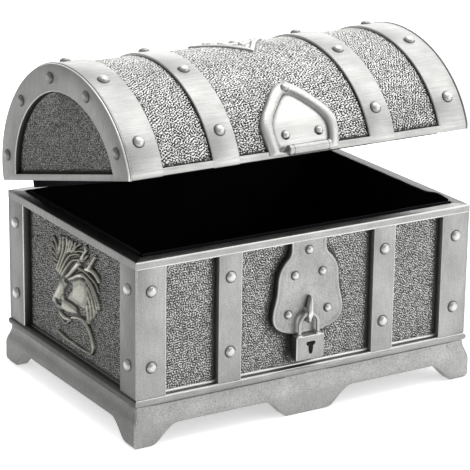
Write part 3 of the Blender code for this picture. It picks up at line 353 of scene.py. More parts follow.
def rod(bm, path, radius, steps=10):
    """A round rod along a list of points, with closed ends."""
    points = [Vector(point) for point in path]
    rings = []
    side = None
    for spot, point in enumerate(points):
        along = (points[min(spot + 1, len(points) - 1)] - points[max(spot - 1, 0)]).normalized()
        if side is None:
            side = along.orthogonal().normalized()
        side = (side - along * side.dot(along)).normalized()
        up = along.cross(side)
        rings.append([point + radius * (side * math.cos(angle) + up * math.sin(angle))
                      for angle in round_angles(steps)])
    loft(bm, rings)


def rounded_section(low_a, high_a, low_b, high_b, edge):
    """A rectangle in two directions whose two high_b corners are rounded."""
    section = [(low_a, low_b)]
    for centre, start in ((low_a + edge, math.pi), (high_a - edge, math.pi / 2)):
        for step in range(4):
            angle = start - math.pi / 2 * step / 3
            section.append((centre + edge * math.cos(angle), high_b - edge + edge * math.sin(angle)))
    return section + [(high_a, low_b)]


def smooth_line(points, steps=5):
    """A curve through the points of an open line."""
    line = [Vector(point) for point in points]
    line = [2 * line[0] - line[1]] + line + [2 * line[-1] - line[-2]]
    curve = []
    for a, b, c, d in zip(line, line[1:], line[2:], line[3:]):
        for step in range(steps):
            t = step / steps
            point = 2 * b + (c - a) * t + (2 * a - 5 * b + 4 * c - d) * t**2 + (3 * b - a - 3 * c + d) * t**3
            curve.append(tuple(point / 2))
    return curve + [tuple(line[-2])]


def inset_half(half, distance):
    """Moves the points of a right half outline inwards. The ends stay on their own level."""
    moved = []
    for spot, (across, along) in enumerate(half):
        before = Vector(half[max(spot - 1, 0)])
        after = Vector(half[min(spot + 1, len(half) - 1)])
        if spot == 0 and across < 1e-5:
            before = Vector((-after.x, after.y))
        if spot == len(half) - 1 and across < 1e-5:
            after = Vector((-before.x, before.y))
        way = (after - before).normalized()
        moved.append((max(across + distance * way.y, 0) if across > 1e-5 else 0, along - distance * way.x))
    return moved


# The arch of the lid, measured along its curve from the front foot


def arch_table():
    """Places on the arch against the distance from its front foot, with the tuck of its lower edges."""
    turn = np.linspace(0, math.pi, TABLE_STEPS + 1)
    y = -ARCH_HALF_DEPTH * np.sign(np.cos(turn)) * np.abs(np.cos(turn)) ** ARCH_POWER
    z = ARCH_HEIGHT * np.abs(np.sin(turn)) ** ARCH_POWER
    tuck = np.clip(1 - z / LID_EDGE_RISE, 0, 1) ** 2
    y -= np.sign(y) * LID_EDGE_TUCK * tuck
    arc = np.concatenate([[0], np.cumsum(np.hypot(np.diff(y), np.diff(z)))])
    slope_y, slope_z = np.gradient(y, arc), np.gradient(z, arc)
    return arc, y, z, -slope_z, slope_y


ARCH = arch_table()
ARCH_LENGTH = float(ARCH[0][-1])


def on_arch(across, arc, out):
    """Points in the lid's own frame. Each argument is a number or an array."""
    y, z, way_y, way_z = (np.interp(arc, ARCH[0], values) for values in ARCH[1:])
    across = across + np.zeros_like(y)
    return np.stack([across, y + out * way_y, z + out * way_z], axis=-1)


def arch_spot(across, arc, out):
    return tuple(float(value) for value in on_arch(across, arc, out))


def arch_way(arc):
    """Outward direction of the arch."""
    return (0, float(np.interp(arc, ARCH[0], ARCH[3])), float(np.interp(arc, ARCH[0], ARCH[4])))


def arch_depth(point):
    """How deep a place lies under the lid's outer face."""
    y, z = abs(point[1]) + 1e-6, max(point[2], 0) + 1e-6
    power = ARCH_EXPONENT
    level = (y / ARCH_HALF_DEPTH) ** power + (z / ARCH_HEIGHT) ** power
    way_y, way_z = y ** (power - 1) / ARCH_HALF_DEPTH**power, z ** (power - 1) / ARCH_HEIGHT**power
    return (1 - level) / (power * math.hypot(way_y, way_z))


def recess_patina_and_painted_light(depth, worn=0.3):
    """Patina and painted shade on the sides of a sunk panel, darker with the depth, and a painted highlight
    with wear on the rounding.
    """
    return max(depth - 0.0003, 0) / 0.0007 - worn * math.exp(-(((depth - 0.0001) / 0.00005) ** 2))


def arched_strip(bm, section, start=0.0, stop=ARCH_LENGTH):
    """Sweeps a section of (across, out) points over the arch."""
    arcs = np.linspace(start, stop, ARCH_STATIONS)
    loft(bm, [[arch_spot(across, arc, out) for across, out in section] for arc in arcs])


# Patches whose surface is a field of heights


def height_patch(name, across, along, heights, patina, place, back, fixed=None, flip=False):
    """A closed patch: a grid of (across, along) pushed out by its heights, on a flat back."""
    rows, columns = heights.shape
    top = place(across, along, heights).reshape(-1, 3)
    left = place(across[:, 0], along[:, 0], back + np.zeros(rows))
    right = place(across[:, -1], along[:, -1], back + np.zeros(rows))
    points = np.concatenate([top, left, right])
    spots = np.arange(rows * columns).reshape(rows, columns)
    left_spots = rows * columns + np.arange(rows)
    right_spots = left_spots + rows
    quads = np.stack([spots[:-1, :-1], spots[:-1, 1:], spots[1:, 1:], spots[1:, :-1]], axis=-1).reshape(-1, 4)
    sides = [
        np.stack([left_spots[:-1], spots[:-1, 0], spots[1:, 0], left_spots[1:]], axis=-1),
        np.stack([spots[:-1, -1], right_spots[:-1], right_spots[1:], spots[1:, -1]], axis=-1),
        np.stack([right_spots[:-1], left_spots[:-1], left_spots[1:], right_spots[1:]], axis=-1),
    ]
    faces = np.concatenate([quads, *sides]).tolist()
    faces.append([int(left_spots[0]), int(right_spots[0]), *spots[0, ::-1].tolist()])
    faces.append([int(right_spots[-1]), int(left_spots[-1]), *spots[-1].tolist()])
    mesh = bpy.data.meshes.new(name)
    mesh.from_pydata(points.tolist(), [], faces)
    # The patina attribute holds the patch's patina, and on the cast grain also painted shade by the frames.
    shade = mesh.attributes.new("patina", "FLOAT", "POINT")
    dark = np.concatenate([patina.reshape(-1), np.ones(2 * rows)])
    shade.data.foreach_set("value", dark.astype(np.float32))
    if fixed is not None:
        mesh.transform(fixed)
    if flip:
        mesh.flip_normals()
    return mesh


def pebble_field(across, along, size, seed, contrast=1.9, lift=0.25):
    """Cast grain from 0 in the pits to 1 on the pebbles: a sum of waves of about one length."""
    draw = np.random.default_rng(seed)
    total = np.zeros_like(across)
    for _ in range(WAVES):
        turn = draw.uniform(0, 2 * math.pi)
        length = size * 2 ** draw.uniform(-0.8, 0.4)
        phase = draw.uniform(0, 2 * math.pi)
        total += np.cos(2 * math.pi * (across * math.cos(turn) + along * math.sin(turn)) / length + phase)
    total *= math.sqrt(2 / WAVES)
    return 1 / (1 + np.exp(-contrast * (total + lift)))


def near_ends(places, reach):
    """How near each place is to the ends of its range, from 1 on them to 0 beyond the reach."""
    away = np.minimum(places - places.min(), places.max() - places)
    return np.exp(-((away / reach) ** 2))


def grid_between(left, right, low, high, step=FINE_STEP):
    """Arrays of across and along places that fill a rectangle."""
    columns = max(int(math.ceil((right - left) / step)), 2) + 1
    rows = max(int(math.ceil((high - low) / step)), 2) + 1
    return np.meshgrid(np.linspace(left, right, columns), np.linspace(low, high, rows))


def far_from_line(across, along, line):
    """Distance of each place from a line of points, and the share of the line walked at the nearest place."""
    best = np.full(across.shape, 1e9)
    share = np.zeros(across.shape)
    points = np.array(line, float)
    steps = np.hypot(*np.diff(points, axis=0).T)
    whole = steps.sum()
    walked = 0.0
    for (ax, ay), (bx, by), length in zip(points[:-1], points[1:], steps):
        if length <= 0:
            continue
        t = np.clip(((across - ax) * (bx - ax) + (along - ay) * (by - ay)) / length**2, 0, 1)
        away = np.hypot(across - ax - t * (bx - ax), along - ay - t * (by - ay))
        near = away < best
        best = np.where(near, away, best)
        share = np.where(near, (walked + t * length) / whole, share)
        walked += length
    return best, share


def inside_outline(across, along, outline):
    """Distance inwards from a closed outline, below 0 outside it."""
    closed = list(outline) + [outline[0]]
    away, _ = far_from_line(across, along, closed)
    within = np.zeros(across.shape, bool)
    for (ax, ay), (bx, by) in zip(closed[:-1], closed[1:]):
        if ay == by:
            continue
        crosses = (ay > along) != (by > along)
        within ^= crosses & (across < (bx - ax) * (along - ay) / (by - ay) + ax)
    return np.where(within, away, -away)


def dome(away, reach):
    """A round section: 1 on a line, 0 at the reach and beyond it."""
    return np.sqrt(np.clip(1 - (away / reach) ** 2, 0, 1))


def ridge(across, along, line, height, wide, narrow):
    """A rounded ridge on a line, which thins towards the line's end."""
    away, share = far_from_line(across, along, smooth_line(line))
    width = wide * (1 - (1 - narrow) * share)
    return height * (0.75 + 0.25 * (1 - share)) * dome(away, width)


def pillow(across, along, outline, height, edge):
    """A raised form with rounded edges inside an outline."""
    depth = np.clip(inside_outline(across, along, outline) / edge, 0, 1)
    return height * np.sqrt(np.clip(1 - (1 - depth) ** 2, 0, 1))


def dent(across, along, line, depth, wide):
    """A soft groove along a line."""
    away, _ = far_from_line(across, along, smooth_line(line) if len(line) > 2 else line)
    return depth * np.exp(-((away / wide) ** 2))


# Finishes


class Finish:
    """Builds one node material, step by step."""

    def __init__(self, name):
        self.material = bpy.data.materials.new(name)
        self.material.use_nodes = True
        self.tree = self.material.node_tree
        self.shader = self.tree.nodes["Principled BSDF"]

    def add(self, kind, inputs=(), **settings):
        node = self.tree.nodes.new("ShaderNode" + kind)
        for key, value in settings.items():
            setattr(node, key, value)
        for key, value in dict(inputs).items():
            self.feed(node.inputs[key], value)
        return node

    def feed(self, socket, value):
        if isinstance(value, bpy.types.NodeSocket):
            self.tree.links.new(value, socket)
        else:
            socket.default_value = value

    def set(self, **values):
        for key, value in values.items():
            self.feed(self.shader.inputs[key.replace("_", " ").title().replace("Ior", "IOR")], value)

    def places(self, stretch=(1, 1, 1)):
        """Coordinates of the piece in metres, drawn out along an axis."""
        source = self.add("TexCoord").outputs["Object"]
        return self.add("Mapping", {"Vector": source, "Scale": stretch}).outputs["Vector"]

    def noise(self, where, scale, detail=3.0, roughness=0.55):
        inputs = {"Vector": where, "Scale": scale, "Detail": detail, "Roughness": roughness}
        return self.add("TexNoise", inputs).outputs["Fac"]

    def cloudy(self, clouds, colour, dull, bright):
        """A colour that drifts between two of its shades."""
        made = self.add("ValToRGB", {"Fac": clouds})
        for element, spot, share in zip(made.color_ramp.elements, (0.3, 0.7), (dull, bright)):
            element.position = spot
            element.color = rgba(colour, share)
        return made.outputs["Color"]

    def spread(self, value, low, high, to_low, to_high):
        made = self.add("MapRange", {"Value": value, 1: low, 2: high, 3: to_low, 4: to_high})
        return made.outputs["Result"]

    def blend(self, share, first, second):
        return self.add("Mix", {0: share, 6: first, 7: second}, data_type="RGBA").outputs[2]

    def bump(self, height, distance, strength):
        inputs = {"Height": height, "Distance": distance, "Strength": strength}
        return self.add("Bump", inputs).outputs["Normal"]

    def total(self, first, second):
        return self.add("Math", {0: first, 1: second}, operation="ADD").outputs[0]

    def patina(self):
        # The patina attribute, which also carries painted shade and painted highlights
        return self.add("Attribute", attribute_name="patina").outputs["Fac"]

    def darken_and_brighten(self, tone, patina, share, shade):
        """Darkens the metal where the piece's patina attribute holds patina and painted shade, and brightens
        it where the attribute holds wear and painted highlights.
        """
        attribute_shading = self.patina()
        tone = self.blend(self.spread(attribute_shading, 0.0, 1.0, 0.0, share), tone, rgba(patina, shade))
        return self.blend(self.spread(attribute_shading, -1.0, 0.0, 0.9, 0.0), tone, rgba(WORN_AND_HIGHLIT_METAL))


def rgba(colour, share=1.0):
    """A colour, darkened or brightened by a share."""
    return (colour[0] * share, colour[1] * share, colour[2] * share, 1)


def brushed_pewter(name, colour, patina, rough, stretch, speckle=0.5):
    """Satin pewter with brush marks along one axis, a cloudy tone and dark metal in its creases."""
    make = Finish(name)
    marks = make.noise(make.places(stretch), 2600, 4.0, 0.6)
    clouds = make.noise(make.places(), 90, 4.0)
    specks = make.noise(make.places(), 2600, 2.0, 0.7)
    tone = make.cloudy(clouds, colour, 0.86, 1.16)
    tone = make.blend(make.spread(marks, 0.35, 0.65, 0.0, 0.22), tone, rgba(colour, 0.45))
    tone = make.blend(make.spread(specks, 0.46, 0.68, 0.0, speckle), tone, rgba(patina, 2.2))
    tone = make.darken_and_brighten(tone, patina, 0.97, 0.8)
    make.set(metallic=1.0, base_color=tone)
    make.set(roughness=make.spread(marks, 0.3, 0.7, rough - 0.06, rough + 0.08))
    make.set(normal=make.bump(make.total(marks, specks), 0.00005, 0.45))
    return make.material


def pebbled_pewter(name, colour, patina, rough, dark_share):
    """Cast grain: bright worn pebbles over blackened pits, darkened further where the patina attribute holds
    painted shade.
    """
    make = Finish(name)
    pits_and_shade = make.patina()
    clouds = make.noise(make.places(), 70, 2.0)
    fine = make.noise(make.places(), 2300, 3.0, 0.6)
    depth = make.total(pits_and_shade, make.spread(fine, 0.3, 0.7, -0.45, 0.45))
    patina_and_painted_light = make.spread(depth, 0.12, 0.43, 0.0, dark_share)
    tone = make.blend(patina_and_painted_light, make.cloudy(clouds, colour, 1.48, 1.80), rgba(patina))
    make.set(metallic=1.0, base_color=tone, roughness=make.spread(pits_and_shade, 0.2, 0.8, rough, rough + 0.22))
    make.set(normal=make.bump(fine, 0.00006, 0.5))
    return make.material


def cast_pewter(name, colour, patina, rough):
    """Orange-peel casting skin of the raised ornaments."""
    make = Finish(name)
    peel = make.noise(make.places(), 1500, 2.0, 0.5)
    clouds = make.noise(make.places((1, 1, 2)), 60, 3.0)
    tone = make.cloudy(clouds, colour, 0.86, 1.05)
    tone = make.blend(make.spread(peel, 0.35, 0.50, 0.35, 0.0), tone, rgba(patina, 2.5))
    tone = make.darken_and_brighten(tone, patina, 0.96, 1.0)
    make.set(metallic=1.0, base_color=tone, roughness=make.spread(peel, 0.3, 0.7, rough - 0.05, rough + 0.10))
    make.set(normal=make.bump(peel, 0.00009, 0.6))
    return make.material


def steel_finish(name, colour, rough):
    """Drawn steel pin with fine turning marks."""
    make = Finish(name)
    rings = make.noise(make.places((40, 1, 1)), 400, 3.0)
    tone = make.blend(make.spread(rings, 0.3, 0.7, 0.0, 0.25), rgba(colour), rgba(colour, 0.6))
    make.set(metallic=1.0, base_color=tone, roughness=make.spread(rings, 0.3, 0.7, rough, rough + 0.12))
    make.set(normal=make.bump(rings, 0.00003, 0.4))
    return make.material


def velvet_finish(name, colour, sheen, pile_size):
    """Short dark pile with a soft sheen and brushed patches."""
    make = Finish(name)
    pile = make.noise(make.places(), 1 / pile_size, 3.0, 0.7)
    patches = make.noise(make.places(), 90, 2.0)
    tone = make.blend(make.spread(patches, 0.35, 0.65, 0.0, 1.0), rgba(colour, 0.6), rgba(colour, 1.5))
    make.set(base_color=tone, roughness=make.spread(pile, 0.3, 0.7, 0.86, 1.0), specular_ior_level=0.08)
    make.set(sheen_weight=sheen, sheen_roughness=0.45, sheen_tint=(0.30, 0.32, 0.40, 1))
    make.set(normal=make.bump(pile, 0.00015, 0.7))
    return make.material


# The side tone is the lid's pewter darkened as painted shade, so the sides and the lid ends look turned from
# the light.
# Brushed finishes: name of the material, tone, roughness over the satin's, stretch of the marks, speckle
BRUSHED = {
    "lid_bands": ("brushed_lid_bands", "light", 0.0, (0.04, 1, 1), 0.10),
    "base_bands": ("brushed_base_bands", "mid", 0.03, (1, 1, 0.07), 0.4),
    "end_frames": ("brushed_end_frames", "side", 0.05, (1, 1, 0.07), 0.2),
    "side_bands": ("brushed_side_bands", "side", 0.03, (1, 1, 0.07), 0.4),
    "side_plinth": ("brushed_side_plinth", "side", 0.04, (1, 1, 0.15), 0.5),
    "plinth": ("brushed_plinth", "mid", 0.04, (1, 1, 0.15), 0.5),
    "rails": ("brushed_rails", "mid", 0.02, (0.06, 0.06, 1), 0.35),
    "rivets": ("polished_rivets", "light", -0.06, (1, 1, 1), 0.1),
}
# Cast grain: tone, roughness over the satin's, share of black in the pits
PEBBLED = {
    "lid_pebbles": ("light", 0.02, 1.0),
    "base_pebbles": ("mid", 0.08, 0.93),
    "side_pebbles": ("side", 0.10, 1.0),
}
FINISHES = {}


def make_finish(name):
    """Makes a material in the colours that the user chose."""
    metal, cloth = bpy.context.scene.chest_metal, bpy.context.scene.chest_cloth
    dark, satin = tuple(metal.dark), metal.roughness
    # The side tone is a shaded copy of the pewter: painted shade.
    shares = {"light": 1.0, "mid": metal.base_share, "side": metal.side_shade_share}
    tones = {tone: tuple(value * share for value in metal.light) for tone, share in shares.items()}
    if name in BRUSHED:
        label, tone, rougher, stretch, speckle = BRUSHED[name]
        return brushed_pewter(label, tones[tone], dark, satin + rougher, stretch, speckle)
    if name in PEBBLED:
        tone, rougher, black = PEBBLED[name]
        return pebbled_pewter(name, tones[tone], dark, satin + rougher, black)
    # The lions' colour is their tint over the side tone, whose darkness is painted shade.
    worn = tuple(a * b for a, b in zip(tones["side"], metal.worn))
    makers = {
        "ornament": lambda: cast_pewter("cast_ornament", tones["light"], dark, satin - 0.02),
        "lion": lambda: cast_pewter("cast_lion", worn, dark, satin),
        "keyhole": lambda: brushed_pewter("keyhole_shadow", rgba(dark, 0.3)[:3], dark, 0.7, (1, 1, 1)),
        "pin": lambda: steel_finish("steel_pin_finish", (0.62, 0.61, 0.58), 0.26),
        "velvet": lambda: velvet_finish("black_velvet_pile", tuple(cloth.velvet), cloth.sheen, 0.00035),
        "felt": lambda: velvet_finish("black_felt_pile", tuple(cloth.felt), 0.3 * cloth.sheen, 0.00060),
    }
    return makers[name]()


def finish_named(name):
    """One of the materials, made when it is first asked for."""
    if name not in FINISHES:
        FINISHES[name] = make_finish(name)
    return FINISHES[name]


# What a user may change


class ChestMetal(bpy.types.PropertyGroup):
    light: FloatVectorProperty(name="Polished pewter", description="Colour of the raised metal",
                               default=(0.37, 0.37, 0.361), subtype="COLOR", min=0, max=1)
    # The patina colour also colours the painted shade.
    dark: FloatVectorProperty(name="Patina", description="Colour of the blackened creases",
                              default=(0.035, 0.035, 0.033), subtype="COLOR", min=0, max=1)
    base_share: FloatProperty(name="Base tone", description="Tone of the base against the lid", default=0.83,
                              min=0, max=1, subtype="FACTOR")
    # The side tone paints shade on the sides and the lid ends.
    side_shade_share: FloatProperty(name="Side tone", description="Tone of the two sides against the lid",
                              default=0.46, min=0, max=1, subtype="FACTOR")
    worn: FloatVectorProperty(name="Worn tint", description="Tint of the worn lion heads against the sides",
                              default=(2.30, 2.27, 2.02), min=0, max=4)
    roughness: FloatProperty(name="Satin", description="Roughness of the brushed metal", default=0.38,
                             min=0.1, max=0.8, subtype="FACTOR")


class ChestSizes(bpy.types.PropertyGroup):
    edge: FloatProperty(name="Edge rounding", description="Radius of the cast edges",
                        default=0.00035, unit="LENGTH")
    rivet_radius: FloatProperty(name="Rivet radius", description="Radius of a large rivet head",
                                default=0.00178, unit="LENGTH")
    rivet_height: FloatProperty(name="Rivet height", description="Height of a large rivet head",
                                default=0.00115, unit="LENGTH")
    small_rivet: FloatProperty(name="Small rivet", description="Size of a small rivet against a large one",
                               default=0.78, min=0.3, max=1, subtype="FACTOR")
    lid_pebble: FloatProperty(name="Lid pebbles", description="Width of a pebble on the lid",
                              default=0.00080, unit="LENGTH")
    base_pebble: FloatProperty(name="Base pebbles", description="Width of a pebble on the base",
                               default=0.00066, unit="LENGTH")
    pebble_relief: FloatProperty(name="Pebble relief", description="Height of the pebbles over their pits",
                                 default=0.00034, unit="LENGTH")
    lion_relief: FloatProperty(name="Lion relief", description="Height of the lion heads over their panel",
                               default=0.0020, unit="LENGTH")
    knot_relief: FloatProperty(name="Knot relief", description="Height of the knot over the lid's grain",
                               default=0.0014, unit="LENGTH")


class ChestCloth(bpy.types.PropertyGroup):
    velvet: FloatVectorProperty(name="Velvet", description="Colour of the lining",
                                default=(0.0022, 0.0022, 0.0030), subtype="COLOR", min=0, max=1)
    felt: FloatVectorProperty(name="Felt", description="Colour of the felt underside",
                              default=(0.010, 0.010, 0.011), subtype="COLOR", min=0, max=1)
    sheen: FloatProperty(name="Sheen", description="Strength of the pile's sheen", default=0.06,
                         min=0, max=1, subtype="FACTOR")


class ChestStage(bpy.types.PropertyGroup):
    floor: FloatVectorProperty(name="Floor", description="Colour of the floor and backdrop",
                               default=(0.92, 0.92, 0.92), subtype="COLOR", min=0, max=1)
    key: FloatProperty(name="Key light", description="Power of the large overhead light",
                       default=8.4, unit="POWER")
    fill: FloatProperty(name="Front light", description="Power of the light at the front right",
                        default=3.5, unit="POWER")
    back: FloatProperty(name="Back light", description="Power of the light at the back right",
                        default=4.0, unit="POWER")
    side: FloatProperty(name="Right light", description="Power of the small light at the right",
                        default=2.5, unit="POWER")
    glow: FloatProperty(name="Paper glow", description="Light that the paper adds, as a lit backdrop does",
                        default=0.56, min=0, max=5)
    room: FloatProperty(name="Room light", description="Strength of the even light all round", default=0.75)


# Pieces of the base


class ChestOperator:
    """Shared settings of the building steps."""

    bl_options = {"REGISTER", "UNDO"}


def wall_parts(bm, length, straps, edge):
    """Posts, straps, top rail and back of one wall, with its outer face on y = 0 and its inside at +y."""
    half = length / 2
    for side in (-1, 1):
        inner, mitre = side * (half - POST_WIDTH), side * (half - WALL_THICKNESS)
        post = [(side * half, 0), (inner, 0), (inner, WALL_THICKNESS), (mitre, WALL_THICKNESS)]
        soft_prism(bm, post, BEAD_TOP - edge, RIM_Z - edge / 2, edge)
    for centre in straps:
        low = (centre - STRAP_WIDTH / 2, 0, BEAD_TOP - edge)
        soft_block(bm, low, (centre + STRAP_WIDTH / 2, WALL_THICKNESS, RIM_Z - edge / 2), edge)
    back = half - PANEL_RECESS
    low, high = (-back, PANEL_RECESS, BEAD_TOP - edge), (back, WALL_THICKNESS, RIM_Z - TOP_RAIL)
    soft_block(bm, low, high, edge / 4, 1)


def mitred_rail(bm, length, section):
    """A rail along a wall, cut at 45 degrees at its ends. The section is (depth, height)."""
    rings = [[(side * (length / 2 - depth), depth, height) for depth, height in section] for side in (-1, 1)]
    loft(bm, rings)


def rounded_rail_section(edge):
    """Top rail: a low step along its outer edge, a rounded crest and the inner edge of the wall."""
    low, high, inside = RIM_Z - TOP_RAIL, RIM_Z, WALL_THICKNESS
    return [
        (PANEL_RECESS + edge, low - edge), (edge, low), (0.2 * edge, low + 0.3 * edge),
        (-0.1 * edge, low + edge), (-0.1 * edge, low + 1.8 * edge), (-0.1 * edge, high - 1.8 * edge),
        (-0.1 * edge, high - edge), (0.2 * edge, high - 0.3 * edge), (edge, high), (inside - edge, high),
        (inside - 0.3 * edge, high - 0.3 * edge), (inside, high - edge), (inside, low - edge),
    ]


def bead_section(edge):
    """Bead along the foot of a wall: a thin step on top of a rounded moulding."""
    low, high = PLINTH_HEIGHT, BEAD_TOP
    middle, radius = (low + high) / 2 - edge / 2, (high - low - edge) / 2
    section = [(WALL_THICKNESS, low), (0.0008, low)]
    for step in range(7):
        angle = math.pi * (step / 6 - 0.5)
        section.append((-BEAD_PROUD * math.cos(angle), middle + radius * math.sin(angle)))
    rim, crest = PANEL_RECESS - INNER_BEAD, high + 0.7 * INNER_BEAD
    return section + [(0.0001, high - 0.0006), (0.0002, high - 0.0002), (0.0006, high), (rim, high),
                      (rim + 0.0001, high + 0.4 * INNER_BEAD), (rim + 0.0003, high + 0.6 * INNER_BEAD),
                      (PANEL_RECESS + edge, crest), (WALL_THICKNESS, crest)]


class CHEST_OT_walls(ChestOperator, bpy.types.Operator):
    """Casts the four walls with posts, straps, rails, beads and rivets"""

    bl_idname = "chest.walls"
    bl_label = "Walls"

    def execute(self, context):
        sizes = context.scene.chest_sizes
        edge = sizes.edge
        for side, place in WALLS.items():
            wide = side in LONG_SIDES
            length = BASE_LENGTH if wide else BASE_DEPTH
            straps = (-STRAP_OFFSET, STRAP_OFFSET) if wide else ()
            finish = "base_bands" if wide else "side_bands"
            half = length / 2
            corners = [POST_WIDTH - half, half - POST_WIDTH]
            corners += [centre + way * STRAP_WIDTH / 2 for centre in straps for way in (-1, 1)]
            # Edges on the side the light comes from get a strong painted highlight on their rounding, the
            # others a faint one; the wall's recess sides get patina and painted shade.
            highlit_corners = corners[:1] + corners[3::2]

            def wear_and_painted_light(spot):
                near = min(corners, key=lambda corner: abs(spot.x - corner))
                worn = 0.9 if near in highlit_corners else 0.25
                return recess_patina_and_painted_light(spot.y, worn * (abs(spot.x - near) < 3 * HAIR))

            bm = bmesh.new()
            wall_parts(bm, length, straps, edge)
            cast(bm, f"{side}_wall", finish, 38, place, wear_and_painted_light, replaces=f"wall_{side}")

            # Painted highlights on the front and back rails' edges and on the bead's top, patina and painted
            # shade under the top rail, painted shade on the side beads, and a painted reflection on the side
            # rails' tops.
            def rail_patina_and_painted_light(spot):
                over_rail, over_bead = spot.z - (RIM_Z - TOP_RAIL), spot.z - BEAD_TOP
                if wide and spot.y < HAIR and -edge < over_rail < 1.2 * edge:
                    return -0.5
                if over_rail > HAIR:
                    if wide:
                        return -0.4 * (spot.z > RIM_Z - 1.2 * edge and spot.y < 0.5 * edge)
                    return RAIL_TOP_PAINTED_REFLECTION * (spot.z > RIM_Z - 0.1 * HAIR)
                if over_bead > 2 * INNER_BEAD:
                    return recess_patina_and_painted_light(spot.y, 0)
                if not wide:
                    return SIDE_BEAD_PAINTED_SHADE
                if over_bead > HAIR:
                    return -0.6
                return -0.9 if over_bead > -4 * HAIR and spot.y < 5 * HAIR else 0.15

            bm = bmesh.new()
            for section in (rounded_rail_section(edge), bead_section(edge)):
                mitred_rail(bm, length, section)
            cast(bm, f"{side}_rails", "rails" if wide else finish, 38, place, rail_patina_and_painted_light)
            bm = bmesh.new()
            for column in (POST_WIDTH / 2 - half, *straps, half - POST_WIDTH / 2):
                for height in (BEAD_TOP + RIVET_INSET, RIM_Z - RIVET_INSET):
                    rivet(bm, (column, 0, height), (0, -1, 0), sizes.rivet_radius, sizes.rivet_height)
            cast(bm, f"{side}_rivets", "rivets", place=place)
        bm = bmesh.new()
        for across in (-1, 1):
            for y, way in ((FRONT_Y, 1), (BACK_Y, -1)):
                x = across * (BASE_LENGTH / 2 - CORNER_SEAM)
                rod(bm, [(x, y + way * CORNER_SEAM, BEAD_TOP), (x, y + way * CORNER_SEAM, RIM_Z - edge)],
                    1.3 * CORNER_SEAM)
        cast(bm, "corner_seams", "rails")
        return {"FINISHED"}


def shadow_by_lock(across, along, patina_and_painted_light):
    """Darkens the grain of the middle panel beside the lock plate and the padlock."""
    plate = lock_plate_half()
    plate = plate + [(-x, z) for x, z in reversed(plate)]
    case_top = EYE_Z - CASE_DROP
    case = [(LOCK_SHIFT + way * CASE_WIDTH / 2, case_top - drop * CASE_HEIGHT)
            for way, drop in ((-1, 0), (1, 0), (1, 1), (-1, 1))]
    for shape in (plate, case):
        beside = np.clip(-inside_outline(across, along, shape), 0, 1)
        patina_and_painted_light = np.maximum(patina_and_painted_light, patina_and_painted_light * 0.4 + 0.55 * np.exp(-((beside / 0.0019) ** 2)))
    return patina_and_painted_light


class CHEST_OT_base_grain(ChestOperator, bpy.types.Operator):
    """Fills the sunk panels of the base with cast grain"""

    bl_idname = "chest.base_grain"
    bl_label = "Base grain"

    def execute(self, context):
        sizes = context.scene.chest_sizes
        outer, strap = BASE_LENGTH / 2 - POST_WIDTH, STRAP_WIDTH / 2
        bounds = (-outer, -STRAP_OFFSET - strap, -STRAP_OFFSET + strap,
                  STRAP_OFFSET - strap, STRAP_OFFSET + strap, outer)
        side_half = BASE_DEPTH / 2 - POST_WIDTH
        low, high = BEAD_TOP - GRAIN_UNDER, RIM_Z - TOP_RAIL + GRAIN_UNDER
        seed = SEEDS["base"]
        for side, place in WALLS.items():
            wide = side in LONG_SIDES
            spans = zip(bounds[::2], bounds[1::2]) if wide else [(-side_half, side_half)]
            for number, (left, right) in enumerate(spans):
                across, along = grid_between(left - GRAIN_UNDER, right + GRAIN_UNDER, low, high)
                field = pebble_field(across, along, sizes.base_pebble, seed, 4.0, 0.16)
                seed += 1
                # Patina in the pits, with painted shade beside the posts and straps, under the top rail on the
                # front and back, and above the bead on the sides
                patina_and_painted_light = np.maximum(1 - field, near_ends(across, 0.0014))
                dark_edge = along - BEAD_TOP if wide else RIM_Z - along
                patina_and_painted_light = np.maximum(patina_and_painted_light, np.where(dark_edge > 0.01, near_ends(along, 0.0009), 0))
                if side == "front" and number == 1:
                    patina_and_painted_light = shadow_by_lock(across, along, patina_and_painted_light)
                heights = sizes.pebble_relief * (0.15 + field)
                mesh = height_patch(f"{side}_grain_{number}", across, along, heights, patina_and_painted_light,
                                    lambda a, t, out: np.stack([a, PANEL_RECESS - out + 0 * a, t], axis=-1),
                                    -GRAIN_UNDER, place)
                add_piece(mesh.name, mesh, "base_pebbles" if wide else "side_pebbles", 180)
        return {"FINISHED"}


def plinth_outward(height):
    """How far the plinth stands out of the walls at a height."""
    part = np.clip((height - FOOT_RISE) / (PLINTH_HEIGHT - PLINTH_COVE - FOOT_EDGE - FOOT_RISE), 0, 1)
    toe = TOE_TUCK * max(1 - height / TOE_RISE, 0) ** 2
    return PLINTH_FLARE - toe - (PLINTH_FLARE + PLINTH_COVE) * (1 - math.cos(math.pi * part)) / 2


def foot_columns(half, middle_foot):
    """Places along a side with the height of the plinth's lower edge there, from the middle to the corner."""
    corner = half + PLINTH_FLARE - FOOT_WIDTH
    rise = [(FOOT_SWEEP * t, FOOT_RISE * t**1.5 * (2.5 - 1.5 * t)) for t in (step / 12 for step in range(13))]
    columns = [(0, 0), (middle_foot, 0)] if middle_foot else [(0, FOOT_RISE)]
    if middle_foot:
        columns += [(middle_foot + along, height) for along, height in rise]
    columns += [(corner - along, height) for along, height in reversed(rise)]
    return columns + [(corner, 0), (corner + 0.0015, 0), (half - PLINTH_THICKNESS, 0), (None, 0)]


